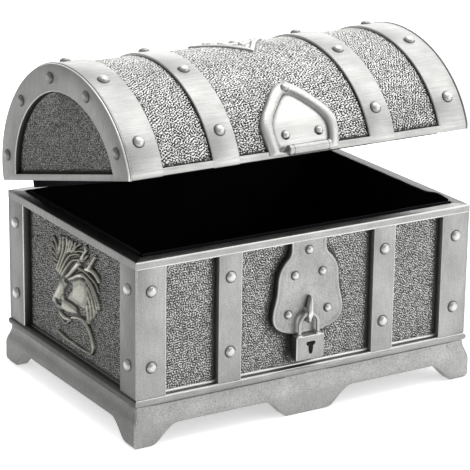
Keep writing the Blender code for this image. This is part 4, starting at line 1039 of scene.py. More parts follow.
class CHEST_OT_plinth(ChestOperator, bpy.types.Operator):
    """Casts the moulded plinth with its corner feet and middle feet"""

    bl_idname = "chest.plinth"
    bl_label = "Plinth"

    def execute(self, context):
        bm = bmesh.new()
        for side, place in WALLS.items():
            wide = side in LONG_SIDES
            half = (BASE_LENGTH if wide else BASE_DEPTH) / 2
            columns = foot_columns(half, MIDDLE_FOOT_WIDTH / 2 if wide else 0)
            mirrored = [(None if x is None else -x, z) for x, z in reversed(columns[1:])]
            line = [(*column, -1) for column in mirrored] + [(*column, 1) for column in columns]
            rings = []
            for x, foot, way in line:
                ring = [(plinth_outward(foot) - FOOT_EDGE, foot),
                        (plinth_outward(foot) - FOOT_EDGE / 4, foot + FOOT_EDGE / 4)]
                start = foot + FOOT_EDGE
                for row in range(PLINTH_ROWS + 1):
                    height = start + (PLINTH_HEIGHT - FOOT_EDGE - start) * row / PLINTH_ROWS
                    ring.append((plinth_outward(height), height))
                inner, ledge = -PLINTH_THICKNESS, -PLINTH_THICKNESS - LEDGE_WIDTH
                ring += [(-PLINTH_COVE - FOOT_EDGE, PLINTH_HEIGHT), (ledge, PLINTH_HEIGHT),
                         (ledge, PLINTH_HEIGHT - LEDGE_THICKNESS), (inner, PLINTH_HEIGHT - LEDGE_THICKNESS),
                         (inner, foot)]
                points = []
                for outward, height in ring:
                    reach = half + outward
                    across = way * reach if x is None else max(-reach, min(reach, x))
                    points.append(place @ Vector((across, -outward, height)))
                rings.append(points)
            loft(bm, rings, caps=False)
        plinth = cast(bm, "plinth_casting", "plinth", 42, replaces="plinth")
        # Faces of the plinth's sides take the side finish, whose darker tone is painted shade.
        plinth.data.materials.append(finish_named("side_plinth"))
        for face in plinth.data.polygons:
            sideways = abs(face.center.x) / BASE_LENGTH * BASE_DEPTH > abs(face.center.y - MIDDLE_Y)
            face.material_index = int(sideways and abs(face.normal.x) > abs(face.normal.y))
        bm = bmesh.new()
        for across in (-1, 1):
            for y, way in ((FRONT_Y, -1), (BACK_Y, 1)):
                heights = [PLINTH_HEIGHT * step / 16 for step in range(1, 16)]
                path = [(across * (BASE_LENGTH / 2 + plinth_outward(z) - CORNER_SEAM),
                         y + way * (plinth_outward(z) - CORNER_SEAM), z) for z in heights]
                rod(bm, path, 1.4 * CORNER_SEAM)
        cast(bm, "foot_seams", "rails")
        return {"FINISHED"}


# Right half outlines, from the top down: share of the half width, share of the height
LOCK_PLATE_SHARES = (
    (0.5, 1.00), (0.5, 0.93), (0.55, 0.87), (0.68, 0.81), (0.79, 0.74), (0.85, 0.66), (0.87, 0.56),
    (0.89, 0.47), (0.94, 0.38), (0.99, 0.29), (1.00, 0.2), (0.93, 0.12), (0.76, 0.06), (0.5, 0.02),
    (0.25, 0.00), (0.00, 0.00),
)
# Staple: height over its eye, half width, reach of its front and of its back from the plate
STAPLE_STATIONS = (
    (0.0054, 0.00016, 0.0009, -0.0003), (0.0051, 0.00046, 0.0015, -0.0003),
    (0.0044, 0.00074, 0.002, -0.0003), (0.0032, 0.00094, 0.0024, -0.0003),
    (0.002, 0.00106, 0.0026, -0.0003), (0.0014, 0.00109, 0.0027, -0.0003), (0.0011, 0.0011, 0.0027, 0.0011),
    (0.0008, 0.0011, 0.0028, 0.0018), (0.0000, 0.00108, 0.0028, 0.0021), (-0.0008, 0.00102, 0.0028, 0.0018),
    (-0.0011, 0.00098, 0.0027, 0.0011), (-0.0014, 0.00094, 0.0026, -0.0003),
    (-0.0022, 0.00074, 0.0024, -0.0003), (-0.0028, 0.00046, 0.002, -0.0003),
    (-0.0031, 0.00016, 0.0013, -0.0003),
)
STAPLE_SLIM = 0.80
STAPLE_LEAN = 0.16
LOCK_RIVET_SHARES = ((0.00, 0.92), (-0.39, 0.66), (0.39, 0.66), (-0.56, 0.24), (0.56, 0.24))
HASP_SHARES = (
    (0.00, 1.00), (0.1, 0.995), (0.22, 0.965), (0.44, 0.85), (0.7, 0.67), (0.9, 0.53), (0.99, 0.41),
    (1.00, 0.3), (0.97, 0.15), (0.92, 0.00),
)
HASP_SUNK_SHARES = (
    (0.00, 0.8), (0.07, 0.79), (0.16, 0.755), (0.34, 0.65), (0.55, 0.51), (0.66, 0.41), (0.7, 0.33),
    (0.7, 0.24), (0.66, 0.13), (0.61, 0.05),
)


# Section of the lock plate's border from its foot to its middle: distance from the outline, height, and patina
# with painted light: painted shade on the plate's side and foot, a painted highlight on its outer edge
LOCK_PLATE_BORDER = (
    (0, -0.0025, 0.9), (0, -0.0006, 0.7), (0.00008, -0.00025, 0.3), (0.0003, -0.00002, -0.35),
    (0.0006, 0.00005, 0), (0.0009, -0.00002, 0), (0.0012, -0.00018, 0.1), (0.0016, -0.00022, 0),
)
# Keyhole's right half in millimetres, and the section of its rim: growth and height
KEYHOLE = (
    (0.0, 2.0), (1.2, 2.0), (1.6, 1.75), (1.65, 1.2), (1.35, 0.85), (0.85, 0.55), (0.8, -0.6), (0.6, -1.8),
    (0.0, -2.1),
)
KEYHOLE_RIM = ((-0.12, 0.03), (-0.28, 0.02))


def half_outline(shares, half_width, height, bottom):
    """A smooth right half outline in metres."""
    line = [(across * half_width, bottom + up * height) for across, up in shares]
    return [(max(across, 0), along) for across, along in smooth_line(line)]


def lock_plate_half():
    bottom = LOCK_PLATE_TOP - LOCK_PLATE_HEIGHT
    return half_outline(LOCK_PLATE_SHARES, LOCK_PLATE_WIDTH / 2, LOCK_PLATE_HEIGHT, bottom)


class CHEST_OT_lock_plate(ChestOperator, bpy.types.Operator):
    """Casts the vase-shaped lock plate with a raised border, its rivets and the pointed staple"""

    bl_idname = "chest.lock_plate"
    bl_label = "Lock plate and staple"

    def execute(self, context):
        sizes = context.scene.chest_sizes
        bottom = LOCK_PLATE_TOP - LOCK_PLATE_HEIGHT
        outline = lock_plate_half()
        top, meets_rail = LOCK_PLATE_TOP - 9 * HAIR, RIM_Z - TOP_RAIL + 2 * HAIR
        halves = [[(x, meets_rail if z > top else z, out) for x, z in inset_half(outline, inset)]
                  for inset, out, _ in LOCK_PLATE_BORDER]
        ring_shading = [ring_shade for _, _, ring_shade in LOCK_PLATE_BORDER]
        bm = bmesh.new()
        ladder_loft(bm, halves, lambda x, z, out: (x, FRONT_Y - out, z), ring_shading)
        cast(bm, "lock_plate_casting", "base_bands", 50, replaces="lock_plate")
        bm = bmesh.new()
        for across, up in LOCK_RIVET_SHARES:
            spot = (across * LOCK_PLATE_WIDTH / 2, FRONT_Y + 0.0002, bottom + up * LOCK_PLATE_HEIGHT)
            rivet(bm, spot, (0, -1, 0), sizes.small_rivet * sizes.rivet_radius, sizes.rivet_height)
        cast(bm, "lock_plate_rivets", "rivets")
        bm = bmesh.new()
        patina_and_painted_light = patina_and_painted_light_layer(bm)
        rings = []
        for up, wide, front, back in STAPLE_STATIONS:
            ring = []
            for turn in round_angles():
                out = (front + back + (front - back) * math.sin(turn)) / 2
                across = STAPLE_SLIM * wide * math.cos(turn) + STAPLE_LEAN * max(up, 0)
                ring.append((LOCK_SHIFT + across, FRONT_Y - out, EYE_Z + up))
            rings.append(ring)
        # Painted contact shade where the staple meets the plate, and a painted highlight with wear along its
        # front
        for row in loft(bm, rings):
            for vert in row:
                out = FRONT_Y - vert.co.y
                polished_and_highlit = out > 0.0018 and abs(vert.co.x - LOCK_SHIFT) < 0.0012
                vert[patina_and_painted_light] = 0.8 if out < 0.0003 else -0.4 if polished_and_highlit else 0.0
        cast(bm, "staple_lug", "rivets", replaces="staple")
        return {"FINISHED"}


class CHEST_OT_padlock(ChestOperator, bpy.types.Operator):
    """Casts the small hanging padlock with its shackle and keyhole"""

    bl_idname = "chest.padlock"
    bl_label = "Padlock"

    def execute(self, context):
        eye = Vector((LOCK_SHIFT, FRONT_Y - SHACKLE_REACH, EYE_Z))
        half = SHACKLE_HALF_WIDTH
        foot = -CASE_DROP - 0.0011
        path = [eye + Vector((-half, 0, foot)), eye + Vector((-half, 0, -half))]
        for step in range(1, SHACKLE_STEPS):
            angle = math.pi * (1 - step / SHACKLE_STEPS)
            path.append(eye + Vector((half * math.cos(angle), 0, half * math.sin(angle) - half)))
        path += [eye + Vector((half, 0, -half)), eye + Vector((half, 0, foot))]
        bm = bmesh.new()
        rod(bm, path, SHACKLE_RADIUS, 14)
        cast(bm, "shackle_loop", "rivets", body="padlock", replaces="padlock_shackle")
        low = eye + Vector((-CASE_WIDTH / 2, -CASE_THICKNESS / 2, -CASE_DROP - CASE_HEIGHT))
        high = eye + Vector((CASE_WIDTH / 2, CASE_THICKNESS / 2 + CASE_BACK, -CASE_DROP))
        bm = bmesh.new()
        soft_block(bm, low, high, CASE_EDGE, 4)
        for side in (-1, 1):
            collar = eye + Vector((side * half, 0, -CASE_DROP - 0.0003))
            rod(bm, [collar + Vector((0, 0, up)) for up in (0, 0.0004, 0.0007)], SHACKLE_COLLAR_RADIUS, 14)

        # Painted highlights on the top and on the front's rounded edges, painted shade on the sides and the
        # bottom
        def case_wear_and_painted_light(spot):
            if spot.z > high.z - HAIR:
                return -0.4
            depth = spot.y - low.y
            beside = min(spot.x - low.x, high.x - spot.x, spot.z - low.z) < 0.7 * CASE_EDGE
            return (0.75 * beside if depth > CASE_EDGE - HAIR else -0.6) if depth > HAIR else 0

        cast(bm, "padlock_body", "base_bands", wear_and_painted_light=case_wear_and_painted_light, body="padlock", replaces="padlock_case")
        centre = eye + Vector((0, -CASE_THICKNESS / 2, -CASE_DROP - CASE_HEIGHT / 2))
        keyhole = [(x / 1000, z / 1000) for x, z in KEYHOLE]
        rim = [[(x, z, out / 1000) for x, z in inset_half(keyhole, inset / 1000)]
               for inset, out in KEYHOLE_RIM]
        hole = [[(x, z, out) for x, z in keyhole] for out in (0.00001, 0.00006)]
        for name, halves, finish in (("keyhole_rim", rim, "base_bands"), ("keyhole_shadow", hole, "keyhole")):
            bm = bmesh.new()
            ladder_loft(bm, halves, lambda x, z, out: (centre.x + x, centre.y - out, centre.z + z))
            cast(bm, name, finish, body="padlock")
        return {"FINISHED"}


# Lines of the lion's head, in thousandths of its width from the front and of its height. Strands run from
# root to tip and have their half width first, in thousandths of the width.
LION_HEAD = (
    (840, 620), (760, 780), (660, 860), (500, 880), (340, 850), (220, 800), (130, 660), (100, 540),
    (140, 400), (220, 300), (400, 260), (600, 220), (860, 220), (970, 250), (1000, 290), (950, 350),
    (800, 530),
)
LION_FACE = (
    (800, 550), (700, 600), (550, 610), (400, 670), (280, 670), (230, 600), (220, 500), (260, 400),
    (300, 330), (420, 290), (600, 240), (860, 230), (970, 260), (1000, 290), (930, 380), (860, 470),
)
LION_CHEEK = (
    (550, 560), (400, 650), (290, 660), (240, 610), (235, 520), (270, 430), (330, 388), (500, 388),
    (610, 405), (585, 480),
)
LION_NOSE_BRIDGE = (
    (785, 535), (720, 545), (700, 490), (705, 420), (765, 365), (780, 300), (880, 262), (975, 285),
    (935, 360), (860, 455),
)
LION_MUZZLE = (
    (800, 330), (740, 372), (620, 375), (500, 362), (430, 340), (420, 305), (520, 275), (640, 250),
    (760, 250), (900, 262), (880, 300),
)
LION_CHIN = ((845, 225), (790, 185), (714, 165), (622, 180), (560, 215), (620, 232), (700, 222), (820, 240))
# Rounded masses: outline, height, width of the rounding
LION_FORMS = (
    (LION_HEAD, 0.16, 0.05), (LION_FACE, 0.48, 0.06), (LION_CHEEK, 0.78, 0.17), (LION_MUZZLE, 0.74, 0.08),
    (LION_CHIN, 0.66, 0.03), (LION_NOSE_BRIDGE, 0.88, 0.08),
)
LION_STRANDS = (
    (28, ((335, 705), (430, 672), (510, 632), (600, 592))),
    (32, ((400, 795), (430, 768), (510, 708), (590, 645), (660, 600))),
    (15, ((725, 600), (665, 668), (590, 740), (520, 790), (430, 822), (320, 838))),
    (14, ((765, 605), (710, 680), (650, 755), (590, 810), (510, 850), (400, 878))),
    (12, ((800, 610), (755, 690), (710, 760), (665, 830), (640, 900), (645, 975))),
    (11, ((840, 610), (800, 690), (765, 750), (735, 810), (720, 880), (725, 960))),
    (10, ((620, 835), (595, 890), (590, 965))),
    (11, ((575, 860), (545, 920), (540, 970))),
    (11, ((535, 865), (490, 925), (470, 975))),
    (12, ((500, 885), (440, 940), (370, 982))),
    (12, ((460, 888), (390, 915), (310, 930))),
    (9, ((790, 790), (790, 850), (775, 910), (790, 960))),
    (9, ((800, 780), (840, 840), (890, 890), (940, 905))),
    (8, ((810, 760), (870, 800), (930, 830), (975, 840))),
    (8, ((815, 735), (890, 755), (960, 765), (990, 765))),
    (8, ((825, 700), (900, 712), (985, 705))),
    (8, ((845, 660), (910, 665), (970, 650))),
    (20, ((320, 870), (290, 915), (262, 950), (270, 990))),
    (13, ((350, 855), (280, 870), (235, 915))),
    (24, ((200, 800), (160, 850), (120, 900), (85, 940))),
    (30, ((240, 790), (150, 798), (80, 785), (30, 760), (15, 735))),
    (10, ((390, 755), (320, 757), (230, 745), (140, 722), (60, 685), (25, 630))),
    (12, ((290, 712), (200, 695), (130, 655), (75, 600), (30, 540), (12, 475))),
    (11, ((235, 685), (155, 640), (100, 575), (68, 505), (60, 430))),
    (11, ((215, 630), (160, 570), (125, 500), (112, 430), (118, 365))),
    (11, ((205, 550), (178, 480), (170, 400), (178, 320))),
    (11, ((238, 455), (232, 385), (228, 330), (220, 285))),
    (9, ((285, 390), (285, 345), (270, 305), (255, 280))),
    (18, ((530, 250), (420, 280), (320, 285), (230, 245), (165, 180), (133, 110), (140, 50), (175, 8))),
    (9, ((845, 30), (660, 8), (424, 0), (226, 4), (165, 15))),
    (9, ((600, 195), (670, 150), (760, 160), (830, 200))),
)
# Grooves: depth, half width, line
LION_GROOVES = (
    (0.55, 16, ((735, 238), (660, 234), (580, 250))),
    (0.6, 36, ((690, 425), (650, 470), (590, 530))),
    (0.45, 16, ((690, 555), (620, 560), (560, 545))),
    (0.75, 29, ((870, 315), (790, 312))),
    (0.4, 14, ((700, 384), (560, 382), (420, 370))),
    (0.7, 36, ((420, 352), (300, 340))),
    (0.34, 18, ((800, 52), (600, 36), (350, 34), (220, 60))),
)
# Combed hair: depth and spacing of its furrows
LION_HAIR = (0.020, 0.020)


def lion_heights(across, along):
    """Height of the lion's head over its panel, as a share of its full relief, at places given in shares."""
    scale = LION_HEIGHT / LION_WIDTH
    up = along * scale

    def scaled(line):
        return [(x / 1000, y / 1000 * scale) for x, y in line]

    heights = np.zeros_like(across)
    for line, high, soft in LION_FORMS:
        heights = np.maximum(heights, pillow(across, up, scaled(line), high, soft))
    deep, apart = LION_HAIR
    heights = heights - deep * (heights > 0.5) * np.cos(2 * math.pi * (0.45 * across + up) / apart)
    for wide, line in LION_STRANDS:
        heights = np.maximum(heights, ridge(across, up, scaled(line), 0.92, wide / 1000, 0.7))
    for deep, wide, line in LION_GROOVES:
        heights = heights - np.where(heights > 0.1, dent(across, up, scaled(line), deep, wide / 1000), 0)
    return heights


def softened(heights, rounds=1):
    """Averages each place of a grid with its neighbours."""
    for _ in range(rounds):
        wide = np.pad(heights, 1, mode="edge")
        heights = (4 * heights + wide[:-2, 1:-1] + wide[2:, 1:-1] + wide[1:-1, :-2] + wide[1:-1, 2:]) / 8
    return heights


def crease_shade(heights, gain):
    """How dark the patina is at each place of a grid: dark where the neighbours stand higher."""
    blurred = softened(heights, 9)
    return np.clip(gain * (blurred - heights) / max(float(heights.max()), 1e-9) + 0.10, 0, 1)


class CHEST_OT_lions(ChestOperator, bpy.types.Operator):
    """Carves the raised lion heads on the two side panels"""

    bl_idname = "chest.lions"
    bl_label = "Lion heads"

    def execute(self, context):
        relief = context.scene.chest_sizes.lion_relief
        margin = 6 * HAIR
        across, along = grid_between(LION_LOW_Y - margin, LION_LOW_Y + LION_WIDTH + margin,
                                     LION_LOW_Z - margin, LION_LOW_Z + LION_HEIGHT + margin, LION_STEP)
        shares = (across - LION_LOW_Y) / LION_WIDTH, (along - LION_LOW_Z) / LION_HEIGHT
        heights = relief * softened(lion_heights(*shares))
        share = heights / relief
        patina = crease_shade(heights, 7.0) + np.clip(3.5 * (0.60 - share), 0, 1)
        patina -= np.clip(4.0 * (share - 0.82), 0, 0.45)
        patina += 0.16 * ((share > 0.5) & (share < 0.82))
        under = 2 * HAIR
        heights = np.where(heights > HAIR / 2, heights + HAIR, -under)
        for side, tag in ((-1, "left"), (1, "right")):
            floor = side * (BASE_LENGTH / 2 - PANEL_RECESS)
            mesh = height_patch(f"lion_relief_{tag}", across, along, heights, np.clip(patina, -1, 1),
                                lambda a, t, out: np.stack([floor + side * out + 0 * a, a, t], axis=-1),
                                -2 * under, flip=side > 0)
            add_piece(mesh.name, mesh, "lion", 180, replaces=f"lion_head_{tag}")
        return {"FINISHED"}


# Linings of the base


INNER_X = BASE_LENGTH / 2 - WALL_THICKNESS - 0.0003
INNER_Y = BASE_DEPTH / 2 - WALL_THICKNESS - 0.0003
LINING_BOTTOM = 0.0148
LINING_TOP = RIM_Z + 0.0005
LINING_THICKNESS = 0.0012
LINING_LUMP = 0.0011
SHORT_CARD = INNER_Y - LINING_THICKNESS - 0.0002
CARD_STATIONS = 64
# Card, half length, distance from the middle of the box
CARDS = (
    ("front", INNER_X, INNER_Y), ("back", INNER_X, INNER_Y), ("left", SHORT_CARD, INNER_X),
    ("right", SHORT_CARD, INNER_X),
)


def velvet_card(name, place, half, seed, lump):
    """A velvet-covered card along a wall: rolled top edge with slight puckers, and a lump at one end."""
    draw = np.random.default_rng(seed)
    waves = [(draw.uniform(2.0, 9.0), draw.uniform(0, 2 * math.pi), draw.uniform(0.2, 1.0)) for _ in range(5)]
    rings = []
    for station in range(CARD_STATIONS + 1):
        share = station / CARD_STATIONS
        x = half * (2 * share - 1)
        pucker = sum(size * math.sin(count * 2 * math.pi * share + turn) for count, turn, size in waves) / 3
        near_end = min(share, 1 - share) * 2 * half
        roll = LINING_THICKNESS * (0.50 + 0.10 * pucker) * min(1.0, 0.6 + near_end / 0.004)
        top = LINING_TOP + math.exp(-((share - 0.06) / 0.07) ** 2) * lump
        ring = [(x, 0, LINING_BOTTOM), (x, 0, top - 2.2 * roll)]
        for step in range(9):
            angle = math.pi * (1 - step / 8)
            ring.append((x, roll + roll * -math.cos(angle), top - roll + roll * math.sin(angle)))
        face = LINING_THICKNESS * (0.80 + 0.08 * pucker)
        middle = (LINING_BOTTOM + top) / 2
        ring += [(x, face, top - 3.5 * roll), (x, face * 1.05, middle), (x, face, LINING_BOTTOM)]
        rings.append(ring)
    bm = bmesh.new()
    loft(bm, rings)
    return mesh_from(bm, name, place)


class CHEST_OT_linings(ChestOperator, bpy.types.Operator):
    """Covers the inside of the walls with velvet cards"""

    bl_idname = "chest.linings"
    bl_label = "Linings"

    def execute(self, context):
        for number, (side, half, away) in enumerate(CARDS):
            whole = (BASE_DEPTH if side in LONG_SIDES else BASE_LENGTH) / 2
            place = WALLS[side] @ Matrix.Translation((0, whole - away, 0))
            lump = LINING_LUMP if side == "right" else 0.0
            mesh = velvet_card(f"{side}_velvet", place, half, SEEDS["linings"] + number, lump)
            card = add_piece(mesh.name, mesh, "velvet", 80, slot="black_velvet", replaces=f"lining_{side}")
        return {"FINISHED"}


def cushion_mesh(low, high):
    """A thin closed pad on a grid, for its filling to swell."""
    bm = bmesh.new()
    bmesh.ops.create_cube(bm, size=1)
    bmesh.ops.subdivide_edges(bm, edges=bm.edges, cuts=3, use_grid_fill=True)
    size, centre = high - low, (high + low) / 2
    for vert in bm.verts:
        vert.co = Vector(share * whole for share, whole in zip(vert.co, size)) + centre
    mesh = bpy.data.meshes.new("cushion_blank")
    bm.to_mesh(mesh)
    bm.free()
    return mesh


def applied(piece):
    """A new mesh with the piece's modifiers applied."""
    graph = bpy.context.evaluated_depsgraph_get()
    graph.update()
    return bpy.data.meshes.new_from_object(piece.evaluated_get(graph))


def fill_cushion(piece, frames, pressure, cap):
    """Blows the pad up as cloth, and keeps each point near where it started."""
    start = np.array([vert.co for vert in piece.data.vertices], float)
    cloth = piece.modifiers.new("Filling", "CLOTH")
    wanted = {"quality": 6, "mass": 0.15, "use_pressure": True, "uniform_pressure_force": pressure,
              "tension_stiffness": 18, "compression_stiffness": 18, "bending_stiffness": 0.4}
    for key, value in wanted.items():
        setattr(cloth.settings, key, value)
    cloth.settings.effector_weights.gravity = 0
    cloth.point_cache.frame_start = 1
    cloth.point_cache.frame_end = frames
    scene = bpy.context.scene
    for number in range(1, frames + 1):
        scene.frame_set(number)
    graph = bpy.context.evaluated_depsgraph_get()
    filled = piece.evaluated_get(graph).to_mesh()
    ends = np.array([vert.co for vert in filled.vertices], float)
    piece.evaluated_get(graph).to_mesh_clear()
    piece.modifiers.remove(cloth)
    scene.frame_set(1)
    moves = ends - start
    far = np.linalg.norm(moves, axis=1, keepdims=True)
    moves *= np.minimum(1, cap / np.maximum(far, 1e-9))
    piece.data.vertices.foreach_set("co", (start + moves).astype(np.float32).reshape(-1))
    piece.data.update()


class CHEST_OT_cushion(ChestOperator, bpy.types.Operator):
    """Fills the velvet floor cushion as cloth"""

    bl_idname = "chest.cushion"
    bl_label = "Floor cushion"

    def execute(self, context):
        low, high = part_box("floor_cushion")
        shrink = Vector((0.0006, 0.0006, 0.0004))
        mesh = cushion_mesh(low + shrink, high - shrink - Vector((0, 0, 0.0012)))
        pad = bpy.data.objects.new("velvet_cushion", mesh)
        context.scene.collection.objects.link(pad)
        remesh = pad.modifiers.new("Even cloth", "REMESH")
        remesh.mode = "VOXEL"
        remesh.voxel_size = 0.0022
        pad.data = applied(pad)
        pad.modifiers.clear()
        fill_cushion(pad, 14, 3.0, 0.0011)
        low, high = low + Vector((HAIR, HAIR, 0)), high - Vector((HAIR, HAIR, 0))
        for vert in pad.data.vertices:
            vert.co = Vector(min(max(value, a), b) for value, a, b in zip(vert.co, low, high))
        soft = pad.modifiers.new("Soft", "SUBSURF")
        soft.levels = soft.render_levels = 1
        filled = applied(pad)
        bpy.data.objects.remove(pad)
        cushion = add_piece("velvet_cushion", filled, "velvet", 180, slot="black_velvet",
                            replaces="floor_cushion")
        return {"FINISHED"}


class CHEST_OT_felt(ChestOperator, bpy.types.Operator):
    """Glues the felt sheet under the floor"""

    bl_idname = "chest.felt"
    bl_label = "Felt underside"

    def execute(self, context):
        low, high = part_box("underside_felt")
        across, along = grid_between(low.x, high.x, low.y, high.y, FELT_STEP)
        heights = 0.00012 * pebble_field(across, along, 0.006, SEEDS["felt"])
        mesh = height_patch("felt_sheet", across, along, heights, 0 * heights,
                            lambda a, t, out: np.stack([a, t, low.z + 0.00015 - out + 0 * a], axis=-1),
                            low.z - high.z + 0.0002, flip=True)
        felt = add_piece("felt_sheet", mesh, "felt", slot="black_felt", replaces="underside_felt")
        return {"FINISHED"}


# Pieces of the lid, drawn closed and level


class CHEST_OT_lid_barrel(ChestOperator, bpy.types.Operator):
    """Casts the arched lid: end bands, straps, rails, skin and rivets"""

    bl_idname = "chest.lid_barrel"
    bl_label = "Lid barrel"

    def execute(self, context):
        sizes = context.scene.chest_sizes
        edge = sizes.edge
        half = BARREL_LENGTH / 2
        band = LID_LENGTH / 2 - END_BAND_WIDTH
        low = -LID_WALL + 0.0004
        reach = LID_STRAP_WIDTH / 2
        bm = bmesh.new()
        for left, right in ((-half, -band), (-STRAP_OFFSET - reach, -STRAP_OFFSET + reach),
                            (STRAP_OFFSET - reach, STRAP_OFFSET + reach), (band, half)):
            arched_strip(bm, rounded_section(left, right, low, 0, edge))

        # Patina and painted shade down the sunk panels' walls, with a painted highlight on their rounding; the
        # right end's outer edge stays unshaded.
        def wear_and_painted_light(spot):
            return 0 if spot.x > half - 15 * HAIR else recess_patina_and_painted_light(arch_depth(spot))

        cast_lid(bm, "lid_bands", "lid_bands", 50, wear_and_painted_light, replaces="lid_barrel")
        bm = bmesh.new()
        for start, stop in ((0, LID_RAIL), (ARCH_LENGTH - LID_RAIL, ARCH_LENGTH)):
            section = rounded_section(start, stop, low, 0.00002, edge)
            loft(bm, [[arch_spot(x, arc, out) for arc, out in section] for x in (-half + edge, half - edge)])
        cast_lid(bm, "lid_rails", "lid_bands", 50)
        bm = bmesh.new()
        section = [(-half, -LID_WALL), (-half, LID_FLOOR), (half, LID_FLOOR), (half, -LID_WALL)]
        arched_strip(bm, section, 2 * HAIR, ARCH_LENGTH - 2 * HAIR)
        cast_lid(bm, "lid_skin", "lid_bands", 50)
        bm = bmesh.new()
        arcs = (LID_RIVET_LOW, LID_RIVET_MIDDLE, ARCH_LENGTH / 2, ARCH_LENGTH - LID_RIVET_MIDDLE,
                ARCH_LENGTH - LID_RIVET_LOW)
        column = (LID_LENGTH - END_BAND_WIDTH) / 2
        for across in (-column, -STRAP_OFFSET, STRAP_OFFSET, column):
            for arc in arcs:
                rivet(bm, arch_spot(across, arc, 0), arch_way(arc), sizes.rivet_radius, sizes.rivet_height)
        cast_lid(bm, "lid_rivets", "rivets")
        return {"FINISHED"}


class CHEST_OT_lid_grain(ChestOperator, bpy.types.Operator):
    """Fills the three sunk panels of the lid with coarse cast grain"""

    bl_idname = "chest.lid_grain"
    bl_label = "Lid grain"

    def execute(self, context):
        sizes = context.scene.chest_sizes
        band = LID_LENGTH / 2 - END_BAND_WIDTH
        strap_in = STRAP_OFFSET - LID_STRAP_WIDTH / 2
        strap_out = STRAP_OFFSET + LID_STRAP_WIDTH / 2
        spans = ((-band, -strap_out, "left"), (-strap_in, strap_in, "middle"), (strap_out, band, "right"))
        for number, (left, right, tag) in enumerate(spans):
            across, along = grid_between(left - GRAIN_UNDER, right + GRAIN_UNDER, LID_RAIL - GRAIN_UNDER,
                                         ARCH_LENGTH - LID_RAIL + GRAIN_UNDER)
            field = pebble_field(across, along, sizes.lid_pebble, SEEDS["lid"] + number, 4.2, 0.34)
            foot = np.clip(np.minimum(along, ARCH_LENGTH - along) - LID_RAIL, 0, 1)
            smooth = np.clip(1.3 - foot / 0.0010, 0, 1)
            field = field * (1 - smooth) + 0.75 * smooth
            # Patina in the pits, with painted shade beside the straps and end bands and along the feet by the
            # rails
            patina_and_painted_light = np.maximum(1 - field, near_ends(across, 0.0007))
            patina_and_painted_light = np.maximum(patina_and_painted_light, 0.7 * np.exp(-((foot / 0.0011) ** 2)))
            heights = LID_FLOOR + sizes.pebble_relief * (0.2 + 1.3 * field)
            mesh = height_patch(f"lid_grain_{tag}", across, along, heights, patina_and_painted_light, on_arch,
                                LID_FLOOR - GRAIN_UNDER, LID_PLACE)
            add_piece(mesh.name, mesh, "lid_pebbles", 180, body="lid")
        return {"FINISHED"}


def quarter_arch(half_depth, height):
    """Points on a quarter of an arch of the lid's kind, from its top to its foot."""
    turns = [math.pi / 2 * (1 - step / END_STEPS) for step in range(END_STEPS + 1)]
    return [(half_depth * math.cos(turn) ** ARCH_POWER, height * math.sin(turn) ** ARCH_POWER)
            for turn in turns]


def arch_half(inset, low):
    """Right half of a lid end's outline, drawn in by an inset: (across, height) from the top to the foot."""
    outline = quarter_arch(ARCH_HALF_DEPTH - inset, ARCH_HEIGHT - inset)
    if inset < LID_EDGE_RISE:
        outline = [(y - LID_EDGE_TUCK * max(1 - z / LID_EDGE_RISE, 0) ** 2, z) for y, z in outline]
    kept = [point for point in outline if point[1] > low + 4 * HAIR]
    foot = (kept[-1][0] + (outline[-1][0] - kept[-1][0]) * 0.5, low)
    return kept + [foot] * (len(outline) - len(kept))


def moon_half():
    """Right half of the sunk panel on a lid end."""
    half_depth = ARCH_HALF_DEPTH - END_FRAME_SIDE
    outline = quarter_arch(half_depth, ARCH_HEIGHT - END_FRAME_TOP)
    kept = [point for point in outline if point[1] > END_FRAME_BOTTOM + 3 * HAIR]
    return kept + [(half_depth, END_FRAME_BOTTOM)] * (len(outline) - len(kept))


def between(outer, inner, from_outer=None, from_inner=None):
    """Points a set distance from one outline towards the other."""
    moved = []
    for a, b in zip(outer, inner):
        way = Vector(b) - Vector(a)
        span = max(way.length, 1e-9)
        if from_outer is not None:
            point = Vector(a) + way * (from_outer / span)
        else:
            point = Vector(b) - way * (from_inner / span)
        moved.append((max(point.x, 0) if a[0] > 1e-9 else 0, point.y))
    return moved


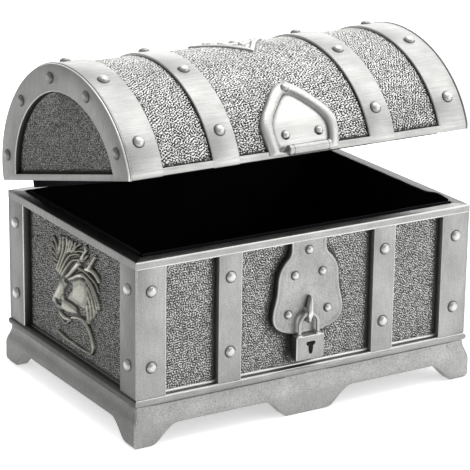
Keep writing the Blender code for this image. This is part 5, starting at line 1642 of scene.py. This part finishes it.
class CHEST_OT_lid_ends(ChestOperator, bpy.types.Operator):
    """Casts the half-moon ends of the lid with their sunk grain, rivets and soldered seams"""

    bl_idname = "chest.lid_ends"
    bl_label = "Lid ends"

    def execute(self, context):
        sizes = context.scene.chest_sizes
        edge = sizes.edge
        plug, outer, inner = arch_half(END_PLUG_INSET, 0.0), arch_half(0.0001, 0.0), moon_half()
        face = END_FACE
        seam = face - END_FLANGE

        def off_outer(inset):
            return between(outer, inner, from_outer=inset)

        def off_inner(inset):
            return between(outer, inner, from_inner=inset)

        # Outline, place along the lid, and patina with painted light: painted highlights on the flange's
        # edges, painted shade down the sunk panel's walls
        rings = ((plug, seam - 0.0030, 0), (plug, seam, 0.8), (off_outer(0.00015), seam, 0.5),
                 (outer, seam + 0.0002, -0.7), (outer, face - edge, -0.9),
                 (off_outer(0.3 * edge), face - 0.3 * edge, -0.5), (off_outer(edge), face, 0),
                 (off_inner(edge), face, 0), (off_inner(0.3 * edge), face - 0.3 * edge, -0.5),
                 (inner, face - edge, 0.5), (inner, face - END_RECESS + 0.0001, 1.0))
        halves = [[(y, z, x) for y, z in outline] for outline, x, _ in rings]
        ring_shading = [ring_shade for _, _, ring_shade in rings]
        for side, tag in ((-1, "left"), (1, "right")):
            bm = bmesh.new()
            ladder_loft(bm, halves, lambda y, z, x: (side * x, y, z), ring_shading)
            cast_lid(bm, f"lid_end_{tag}_casting", "end_frames", 50, replaces=f"lid_end_{tag}")
            bm = bmesh.new()
            for share in END_RIVET_SHARES:
                turn = math.pi * share
                level = math.cos(turn)
                y = -(ARCH_HALF_DEPTH - END_RIVET_INSET) * math.copysign(abs(level) ** ARCH_POWER, level)
                z = (ARCH_HEIGHT - END_RIVET_INSET) * math.sin(turn) ** ARCH_POWER
                rivet(bm, (side * face, y, z), (side, 0, 0), sizes.rivet_radius, sizes.rivet_height)
            # The end rivets take the end frames' finish, and so its painted shade.
            cast_lid(bm, f"lid_end_{tag}_rivets", "end_frames")
            self.grain(side, tag, inner, face - END_RECESS, sizes)
            bm = bmesh.new()
            arched_strip(bm, [(side * (seam - 0.0001) + END_SEAM_RADIUS * math.cos(turn),
                               END_SEAM_RADIUS * math.sin(turn)) for turn in round_angles(8)])
            cast_lid(bm, f"lid_end_{tag}_seam", "lid_bands")
        return {"FINISHED"}

    def grain(self, side, tag, inner, floor, sizes):
        """The half-moon panel: rows of equal height, each as wide as the moon is there."""
        rises = np.array([z for _, z in inner])[::-1]
        widths = np.array([y for y, _ in inner])[::-1]
        top = float(rises[-1]) + HAIR
        levels = np.linspace(END_FRAME_BOTTOM - 2 * HAIR, top, int((top - END_FRAME_BOTTOM) / FINE_STEP))
        reach = np.interp(levels, rises, widths) + 2 * HAIR
        shares = np.linspace(-1, 1, int(2 * widths.max() / FINE_STEP))
        across, along = reach[:, None] * shares[None, :], levels[:, None] + 0 * shares[None, :]
        field = pebble_field(across, along, 0.9 * sizes.base_pebble, SEEDS["ends"] + side, 3.0, 0.10)
        border = np.minimum(reach[:, None] - np.abs(across), along - END_FRAME_BOTTOM)
        # Patina in the pits, with painted shade along the frame's border
        patina_and_painted_light = np.maximum(1 - field, 0.9 * np.exp(-((np.maximum(border, 0) / 0.0011) ** 2)))
        heights = sizes.pebble_relief * (0.2 + 0.9 * field)
        mesh = height_patch(f"lid_end_{tag}_grain", across, along, heights, patina_and_painted_light,
                            lambda a, t, out: np.stack([side * (floor + out) + 0 * a, a, t], axis=-1),
                            -2 * HAIR, LID_PLACE, side > 0)
        add_piece(mesh.name, mesh, "side_pebbles", 180, body="lid")


# Section of the hasp's frame: share of the way from its outline to its opening, height, and patina with
# painted light: painted shade on the outer edge, a painted highlight on the sunk plate
HASP_SECTION = (
    (0.0, -0.0016, 0.8), (0.0, -0.0006, 0.5), (0.04, 0.0001, 0.2), (0.13, 0.0007, -0.05),
    (0.3, 0.001, -0.2), (0.5, 0.0011, -0.2), (0.7, 0.00105, -0.1), (0.86, 0.00085, 0.1),
    (0.95, 0.0004, 0.5), (1.00, -0.00012, 0.4), (1.25, -0.00008, -0.3),
)
# End of the hasp's barrel: distance from the end, share of the radius
HASP_BARREL_SECTION = (
    (0, 0.62), (0, 0.88), (0.0002, 1), (0.0011, 1), (0.0012, 0.9), (0.0016, 0.9), (0.0017, 1),
)
# Rivets of the hasp: across, along the arch, height
HASP_RIVETS = ((-0.0062, 0.0067, -0.0001), (0.0056, 0.0067, -0.0001), (-0.0009, 0.0218, 0.0009))


class CHEST_OT_hasp(ChestOperator, bpy.types.Operator):
    """Casts the spade-shaped hasp frame on the lid with its barrel, pin and rivets"""

    bl_idname = "chest.hasp"
    bl_label = "Hasp"

    def execute(self, context):
        sizes = context.scene.chest_sizes
        half = HASP_WIDTH / 2
        outer = half_outline(HASP_SHARES, half, HASP_HEIGHT, HASP_BOTTOM)
        inner = half_outline(HASP_SUNK_SHARES, half, HASP_HEIGHT, HASP_BOTTOM)
        spots = np.linspace(0, len(inner) - 1, len(outer))
        columns = [np.interp(spots, range(len(inner)), [point[way] for point in inner]) for way in (0, 1)]
        inner = [(float(across), float(along)) for across, along in zip(*columns)]
        halves = []
        for share, out, _ in HASP_SECTION:
            halves.append([(max(ax + (bx - ax) * share, 0) if ax > 1e-6 else 0, ay + (by - ay) * share, out)
                           for (ax, ay), (bx, by) in zip(outer, inner)])
        bm = bmesh.new()
        ladder_loft(bm, halves, lambda across, arc, out: arch_spot(across + HASP_SHIFT, arc, out),
                    [ring_shade for _, _, ring_shade in HASP_SECTION])
        cast_lid(bm, "hasp_casting", "lid_bands", 55, replaces="hasp_plate")
        bm = bmesh.new()
        for across, arc, out in HASP_RIVETS:
            rivet(bm, arch_spot(across, arc, out), arch_way(arc), sizes.small_rivet * sizes.rivet_radius,
                  sizes.rivet_height)
        long, radius = HASP_BARREL_LENGTH / 2, HASP_BARREL_RADIUS
        section = [(-long + inwards, share * radius) for inwards, share in HASP_BARREL_SECTION]
        section += [(-x, r) for x, r in reversed(section)]
        y, z = arch_spot(0, HASP_BARREL_RISE, HASP_BARREL_LIFT)[1:]
        loft(bm, [[(x, y + r * math.cos(turn), z + r * math.sin(turn)) for turn in round_angles()]
                  for x, r in section])
        cast_lid(bm, "hasp_barrel", "rivets", 40)
        return {"FINISHED"}


# Centre lines of the knot, as shares of its half width and half length
KNOT_RIM = ((1.00, 0.00), (0.66, 0.3), (0.42, 0.53), (0.2, 0.78), (0.00, 1.00))
KNOT_LOOPS = (((0.00, 0.62), (0.34, 0.40), (0.26, 0.12), (-0.26, -0.12), (-0.34, -0.40), (0.00, -0.62)),
              ((0.00, 0.62), (-0.34, 0.40), (-0.26, 0.12), (0.26, -0.12), (0.34, -0.40), (0.00, -0.62)),
              ((0.62, 0.00), (0.42, 0.22), (0.10, 0.20), (-0.10, -0.20), (-0.42, -0.22), (-0.62, 0.00)),
              ((0.62, 0.00), (0.42, -0.22), (0.10, -0.20), (-0.10, 0.20), (-0.42, 0.22), (-0.62, 0.00)))
KNOT_RIM_HALF = 0.00085
KNOT_STRAND_HALF = 0.00095
KNOT_GAP = 0.00035


class CHEST_OT_knot(ChestOperator, bpy.types.Operator):
    """Carves the pointed interlaced knot on top of the lid"""

    bl_idname = "chest.knot"
    bl_label = "Lid knot"

    def execute(self, context):
        relief = context.scene.chest_sizes.knot_relief
        wide, long = KNOT_HALF_WIDTH, KNOT_HALF_LENGTH
        margin = 6 * HAIR
        across, along = grid_between(-wide - margin, wide + margin, -long - margin, long + margin, KNOT_STEP)

        def placed(line, share=1.0):
            return [(x * (wide - KNOT_RIM_HALF) * share, y * (long - KNOT_RIM_HALF) * share) for x, y in line]

        def rim_line(share=1.0):
            """The pointed rim, drawn round from a quarter of it."""
            quarter = smooth_line(placed(KNOT_RIM, share))
            rim = quarter + [(-x, y) for x, y in reversed(quarter[:-1])]
            return rim + [(x, -y) for x, y in reversed(rim[1:-1])]

        heights = np.zeros_like(across)
        for share, high in ((1.0, 0.60), (0.80, 0.50)):
            rim = rim_line(share)
            away, _ = far_from_line(across, along, rim + rim[:1])
            heights = np.maximum(heights, high * dome(away, KNOT_RIM_HALF))
        for number, loop in enumerate(KNOT_LOOPS):
            away, share = far_from_line(across, along, smooth_line(placed(loop), 8))
            weave = 0.84 + 0.16 * np.cos(2 * math.pi * (3 * share + number / 2))
            beside = (away > KNOT_STRAND_HALF) & (away < KNOT_STRAND_HALF + KNOT_GAP)
            strand = np.maximum(heights, weave * dome(away, KNOT_STRAND_HALF))
            heights = np.where(beside, heights * 0.35, strand)
        bed = np.where(inside_outline(across, along, rim_line()) > 0, 0.16, 0.0)
        heights = relief * softened(np.maximum(heights, bed))
        patina = np.clip(crease_shade(heights, 6.0) + 2.0 * (0.30 - heights / relief), -0.6, 1)
        heights = np.where(heights > 0.00004, heights + LID_FLOOR + 4 * HAIR, LID_FLOOR - HAIR)
        mesh = height_patch("knot_relief", across + KNOT_SHIFT, along + ARCH_LENGTH / 2, heights, patina,
                            on_arch, LID_FLOOR - 4 * HAIR, LID_PLACE)
        add_piece("knot_relief", mesh, "ornament", 180, body="lid", replaces="lid_ornament")
        return {"FINISHED"}


# Rounding of the lid's velvet ends: distance from their outline, depth under their face
LID_CARD_ROUNDING = ((0.0, 0), (0.0, 0.0007), (0.0004, 0.0011), (0.0030, 0.0013))
LIP_HALF_LENGTH = INNER_X - 0.0017
LIP_HALF_DEPTH = 0.0353
# Section of the lip at the lid's edge: distance inwards, height
LIP_SECTION = ((0.0012, 0.0016), (0.0015, 0.0012), (0.0015, -0.0004), (0.0012, -0.0007), (0.0003, -0.0007),
               (0, -0.0004), (0, 0.0000), (-0.0003, 0.0003))
LIP_DROP = 0.0026


class CHEST_OT_lid_lining(ChestOperator, bpy.types.Operator):
    """Lines the lid with velvet and a velvet-covered frame"""

    bl_idname = "chest.lid_lining"
    bl_label = "Lid lining"

    def execute(self, context):
        half = LID_LENGTH / 2 - END_FLANGE - 0.0033
        start, stop = 0.0022, ARCH_LENGTH - 0.0022
        across, along = grid_between(-half, half, start, stop, CLOTH_STEP)
        soft = pebble_field(across, along, 0.016, SEEDS["vault"], 1.0)
        heights = -(LID_WALL + 0.0010 + 0.0003 * soft)
        mesh = height_patch("vault_velvet", across, along, heights, 0 * heights, on_arch, -LID_WALL - 0.0003,
                            LID_PLACE, True)
        vault = add_piece("vault_velvet", mesh, "velvet", body="lid", slot="black_velvet",
                          replaces="lid_lining_vault")
        outline = arch_half(LID_WALL + 0.0016, 0.0020)
        middle = [(0.0, 0.012)] * len(outline)
        halves = [[(y, z, half - depth) for y, z in between(outline, middle, from_outer=inset)]
                  for inset, depth in LID_CARD_ROUNDING]
        for side, tag in ((-1, "left"), (1, "right")):
            bm = bmesh.new()
            ladder_loft(bm, halves, lambda y, z, x: (side * x, y, z))
            card = cast_lid(bm, f"lid_end_{tag}_velvet", "velvet", slot="black_velvet",
                            replaces=f"lid_lining_end_{tag}")
        outer_y = ARCH_HALF_DEPTH - LID_WALL - 0.0004
        section = [(half, outer_y, 0.0003), (half, outer_y, 0.0015)]
        section += [(LIP_HALF_LENGTH - inset, LIP_HALF_DEPTH - inset, z) for inset, z in LIP_SECTION]
        rings = []
        for sx, sy in ((-1, -1), (1, -1), (1, 1), (-1, 1)):
            drop = LIP_DROP if sx < 0 < sy else 0
            rings.append([(sx * x, sy * y, z - drop * (z < -3 * HAIR)) for x, y, z in section])
        bm = bmesh.new()
        loft(bm, rings, cyclic=True)
        rim = cast_lid(bm, "lid_rim_velvet", "velvet", slot="black_velvet", replaces="lid_lining_frame")
        return {"FINISHED"}


class CHEST_OT_hinges(ChestOperator, bpy.types.Operator):
    """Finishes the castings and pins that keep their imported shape"""

    bl_idname = "chest.hinges"
    bl_label = "Hinges and small castings"

    def execute(self, context):
        finishes = {"hinge_base": "base_bands", "hinge_lid": "lid_bands", "hinge_pin": "pin",
                    "hasp_pin": "pin", "floor_plate": "rails"}
        for name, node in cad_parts.items():
            for start, finish in finishes.items():
                if name.startswith(start):
                    node.data.materials.clear()
                    node.data.materials.append(finish_named(finish))
        return {"FINISHED"}


# Stage

EYE_PLACE = (-0.36245, -0.59260, 0.26810)
EYE_RIGHT = (0.85457, -0.51918, 0.01291)
EYE_UP = (0.14842, 0.26796, 0.95193)
EYE_LENS = 174.79
STAGE_HALF = 3.0


def soft_light(name, spot, target, size, power):
    """A rectangular light that faces its target."""
    light = bpy.data.lights.new(name, "AREA")
    light.shape = "RECTANGLE"
    light.size, light.size_y = size
    light.energy = power
    lamp = bpy.data.objects.new(name, light)
    lamp.location = spot
    lamp.rotation_euler = (Vector(target) - Vector(spot)).to_track_quat("-Z", "Y").to_euler()
    bpy.context.scene.collection.objects.link(lamp)


class CHEST_OT_stage(ChestOperator, bpy.types.Operator):
    """Sets the pale floor, the soft lights and the camera"""

    bl_idname = "chest.stage"
    bl_label = "Stage"

    def execute(self, context):
        scene = context.scene
        look = scene.chest_stage
        paper = Finish("pale_paper")
        tooth = paper.noise(paper.places(), 90, 3.0)
        tone = paper.blend(paper.spread(tooth, 0.3, 0.7, 0, 0.04), rgba(look.floor), rgba(look.floor, 0.9))
        paper.set(base_color=tone)
        paper.set(roughness=0.9, specular_ior_level=0.1)
        paper.set(emission_color=(1, 1, 1, 1), emission_strength=look.glow)
        bm = bmesh.new()
        bmesh.ops.create_grid(bm, x_segments=8, y_segments=8, size=STAGE_HALF)
        floor = bpy.data.objects.new("pale_floor", mesh_from(bm, "pale_floor"))
        floor.data.materials.append(paper.material)
        scene.collection.objects.link(floor)
        world = bpy.data.worlds.new("soft_room")
        scene.world = world
        scene.view_settings.view_transform = "Standard"
        world.use_nodes = True
        sky = world.node_tree.nodes["Background"]
        sky.inputs["Color"].default_value = (1, 1, 1, 1)
        sky.inputs["Strength"].default_value = look.room
        soft_light("overhead_light", (0.36, 0.00, 0.88), (0, 0, 0.05), (1.1, 1.2), look.key)
        soft_light("front_right_light", (0.75, -0.95, 0.40), (0, 0, 0.04), (0.8, 0.7), look.fill)
        soft_light("back_right_light", (0.60, 0.95, 0.45), (0, 0, 0.09), (1.2, 0.6), look.back)
        soft_light("right_light", (1.00, 0.05, 0.30), (0, 0, 0.05), (0.4, 0.4), look.side)
        camera = bpy.data.objects.new("camera", bpy.data.cameras.new("camera"))
        camera.data.lens = EYE_LENS
        camera.data.sensor_width = 36
        camera.data.clip_start = 0.01
        right, up = Vector(EYE_RIGHT), Vector(EYE_UP)
        turn = Matrix((right, up, right.cross(up))).transposed().to_4x4()
        camera.matrix_world = Matrix.Translation(EYE_PLACE) @ turn
        scene.collection.objects.link(camera)
        scene.camera = camera
        return {"FINISHED"}


class CHEST_PT_panel(bpy.types.Panel):
    """Lists the steps that build the chest, and its sizes and colours"""

    bl_idname = "CHEST_PT_panel"
    bl_label = "Pewter chest"
    bl_space_type = "VIEW_3D"
    bl_region_type = "UI"
    bl_category = "Chest"

    def draw(self, context):
        column = self.layout.column(align=True)
        for step in STEPS:
            column.operator(step.bl_idname)
        for group in GROUPS:
            box = self.layout.box()
            settings = getattr(context.scene, group)
            for name in settings.__annotations__:
                box.prop(settings, name)


STEPS = (
    CHEST_OT_walls, CHEST_OT_base_grain, CHEST_OT_plinth, CHEST_OT_lock_plate, CHEST_OT_padlock,
    CHEST_OT_lions, CHEST_OT_linings, CHEST_OT_cushion, CHEST_OT_felt, CHEST_OT_lid_barrel,
    CHEST_OT_lid_grain, CHEST_OT_lid_ends, CHEST_OT_hasp, CHEST_OT_knot, CHEST_OT_lid_lining,
    CHEST_OT_hinges, CHEST_OT_stage,
)
GROUPS = {
    "chest_metal": ChestMetal, "chest_sizes": ChestSizes,
    "chest_cloth": ChestCloth, "chest_stage": ChestStage,
}


def register():
    for kind in (*GROUPS.values(), *STEPS, CHEST_PT_panel):
        bpy.utils.register_class(kind)
    for name, kind in GROUPS.items():
        setattr(bpy.types.Scene, name, PointerProperty(type=kind))


def unregister():
    for name in GROUPS:
        delattr(bpy.types.Scene, name)
    for kind in reversed((*GROUPS.values(), *STEPS, CHEST_PT_panel)):
        bpy.utils.unregister_class(kind)


def main():
    register()
    for step in STEPS:
        family, name = step.bl_idname.split(".")
        getattr(getattr(bpy.ops, family), name)()
    bpy.context.view_layer.update()


if __name__ == "__main__":
    main()
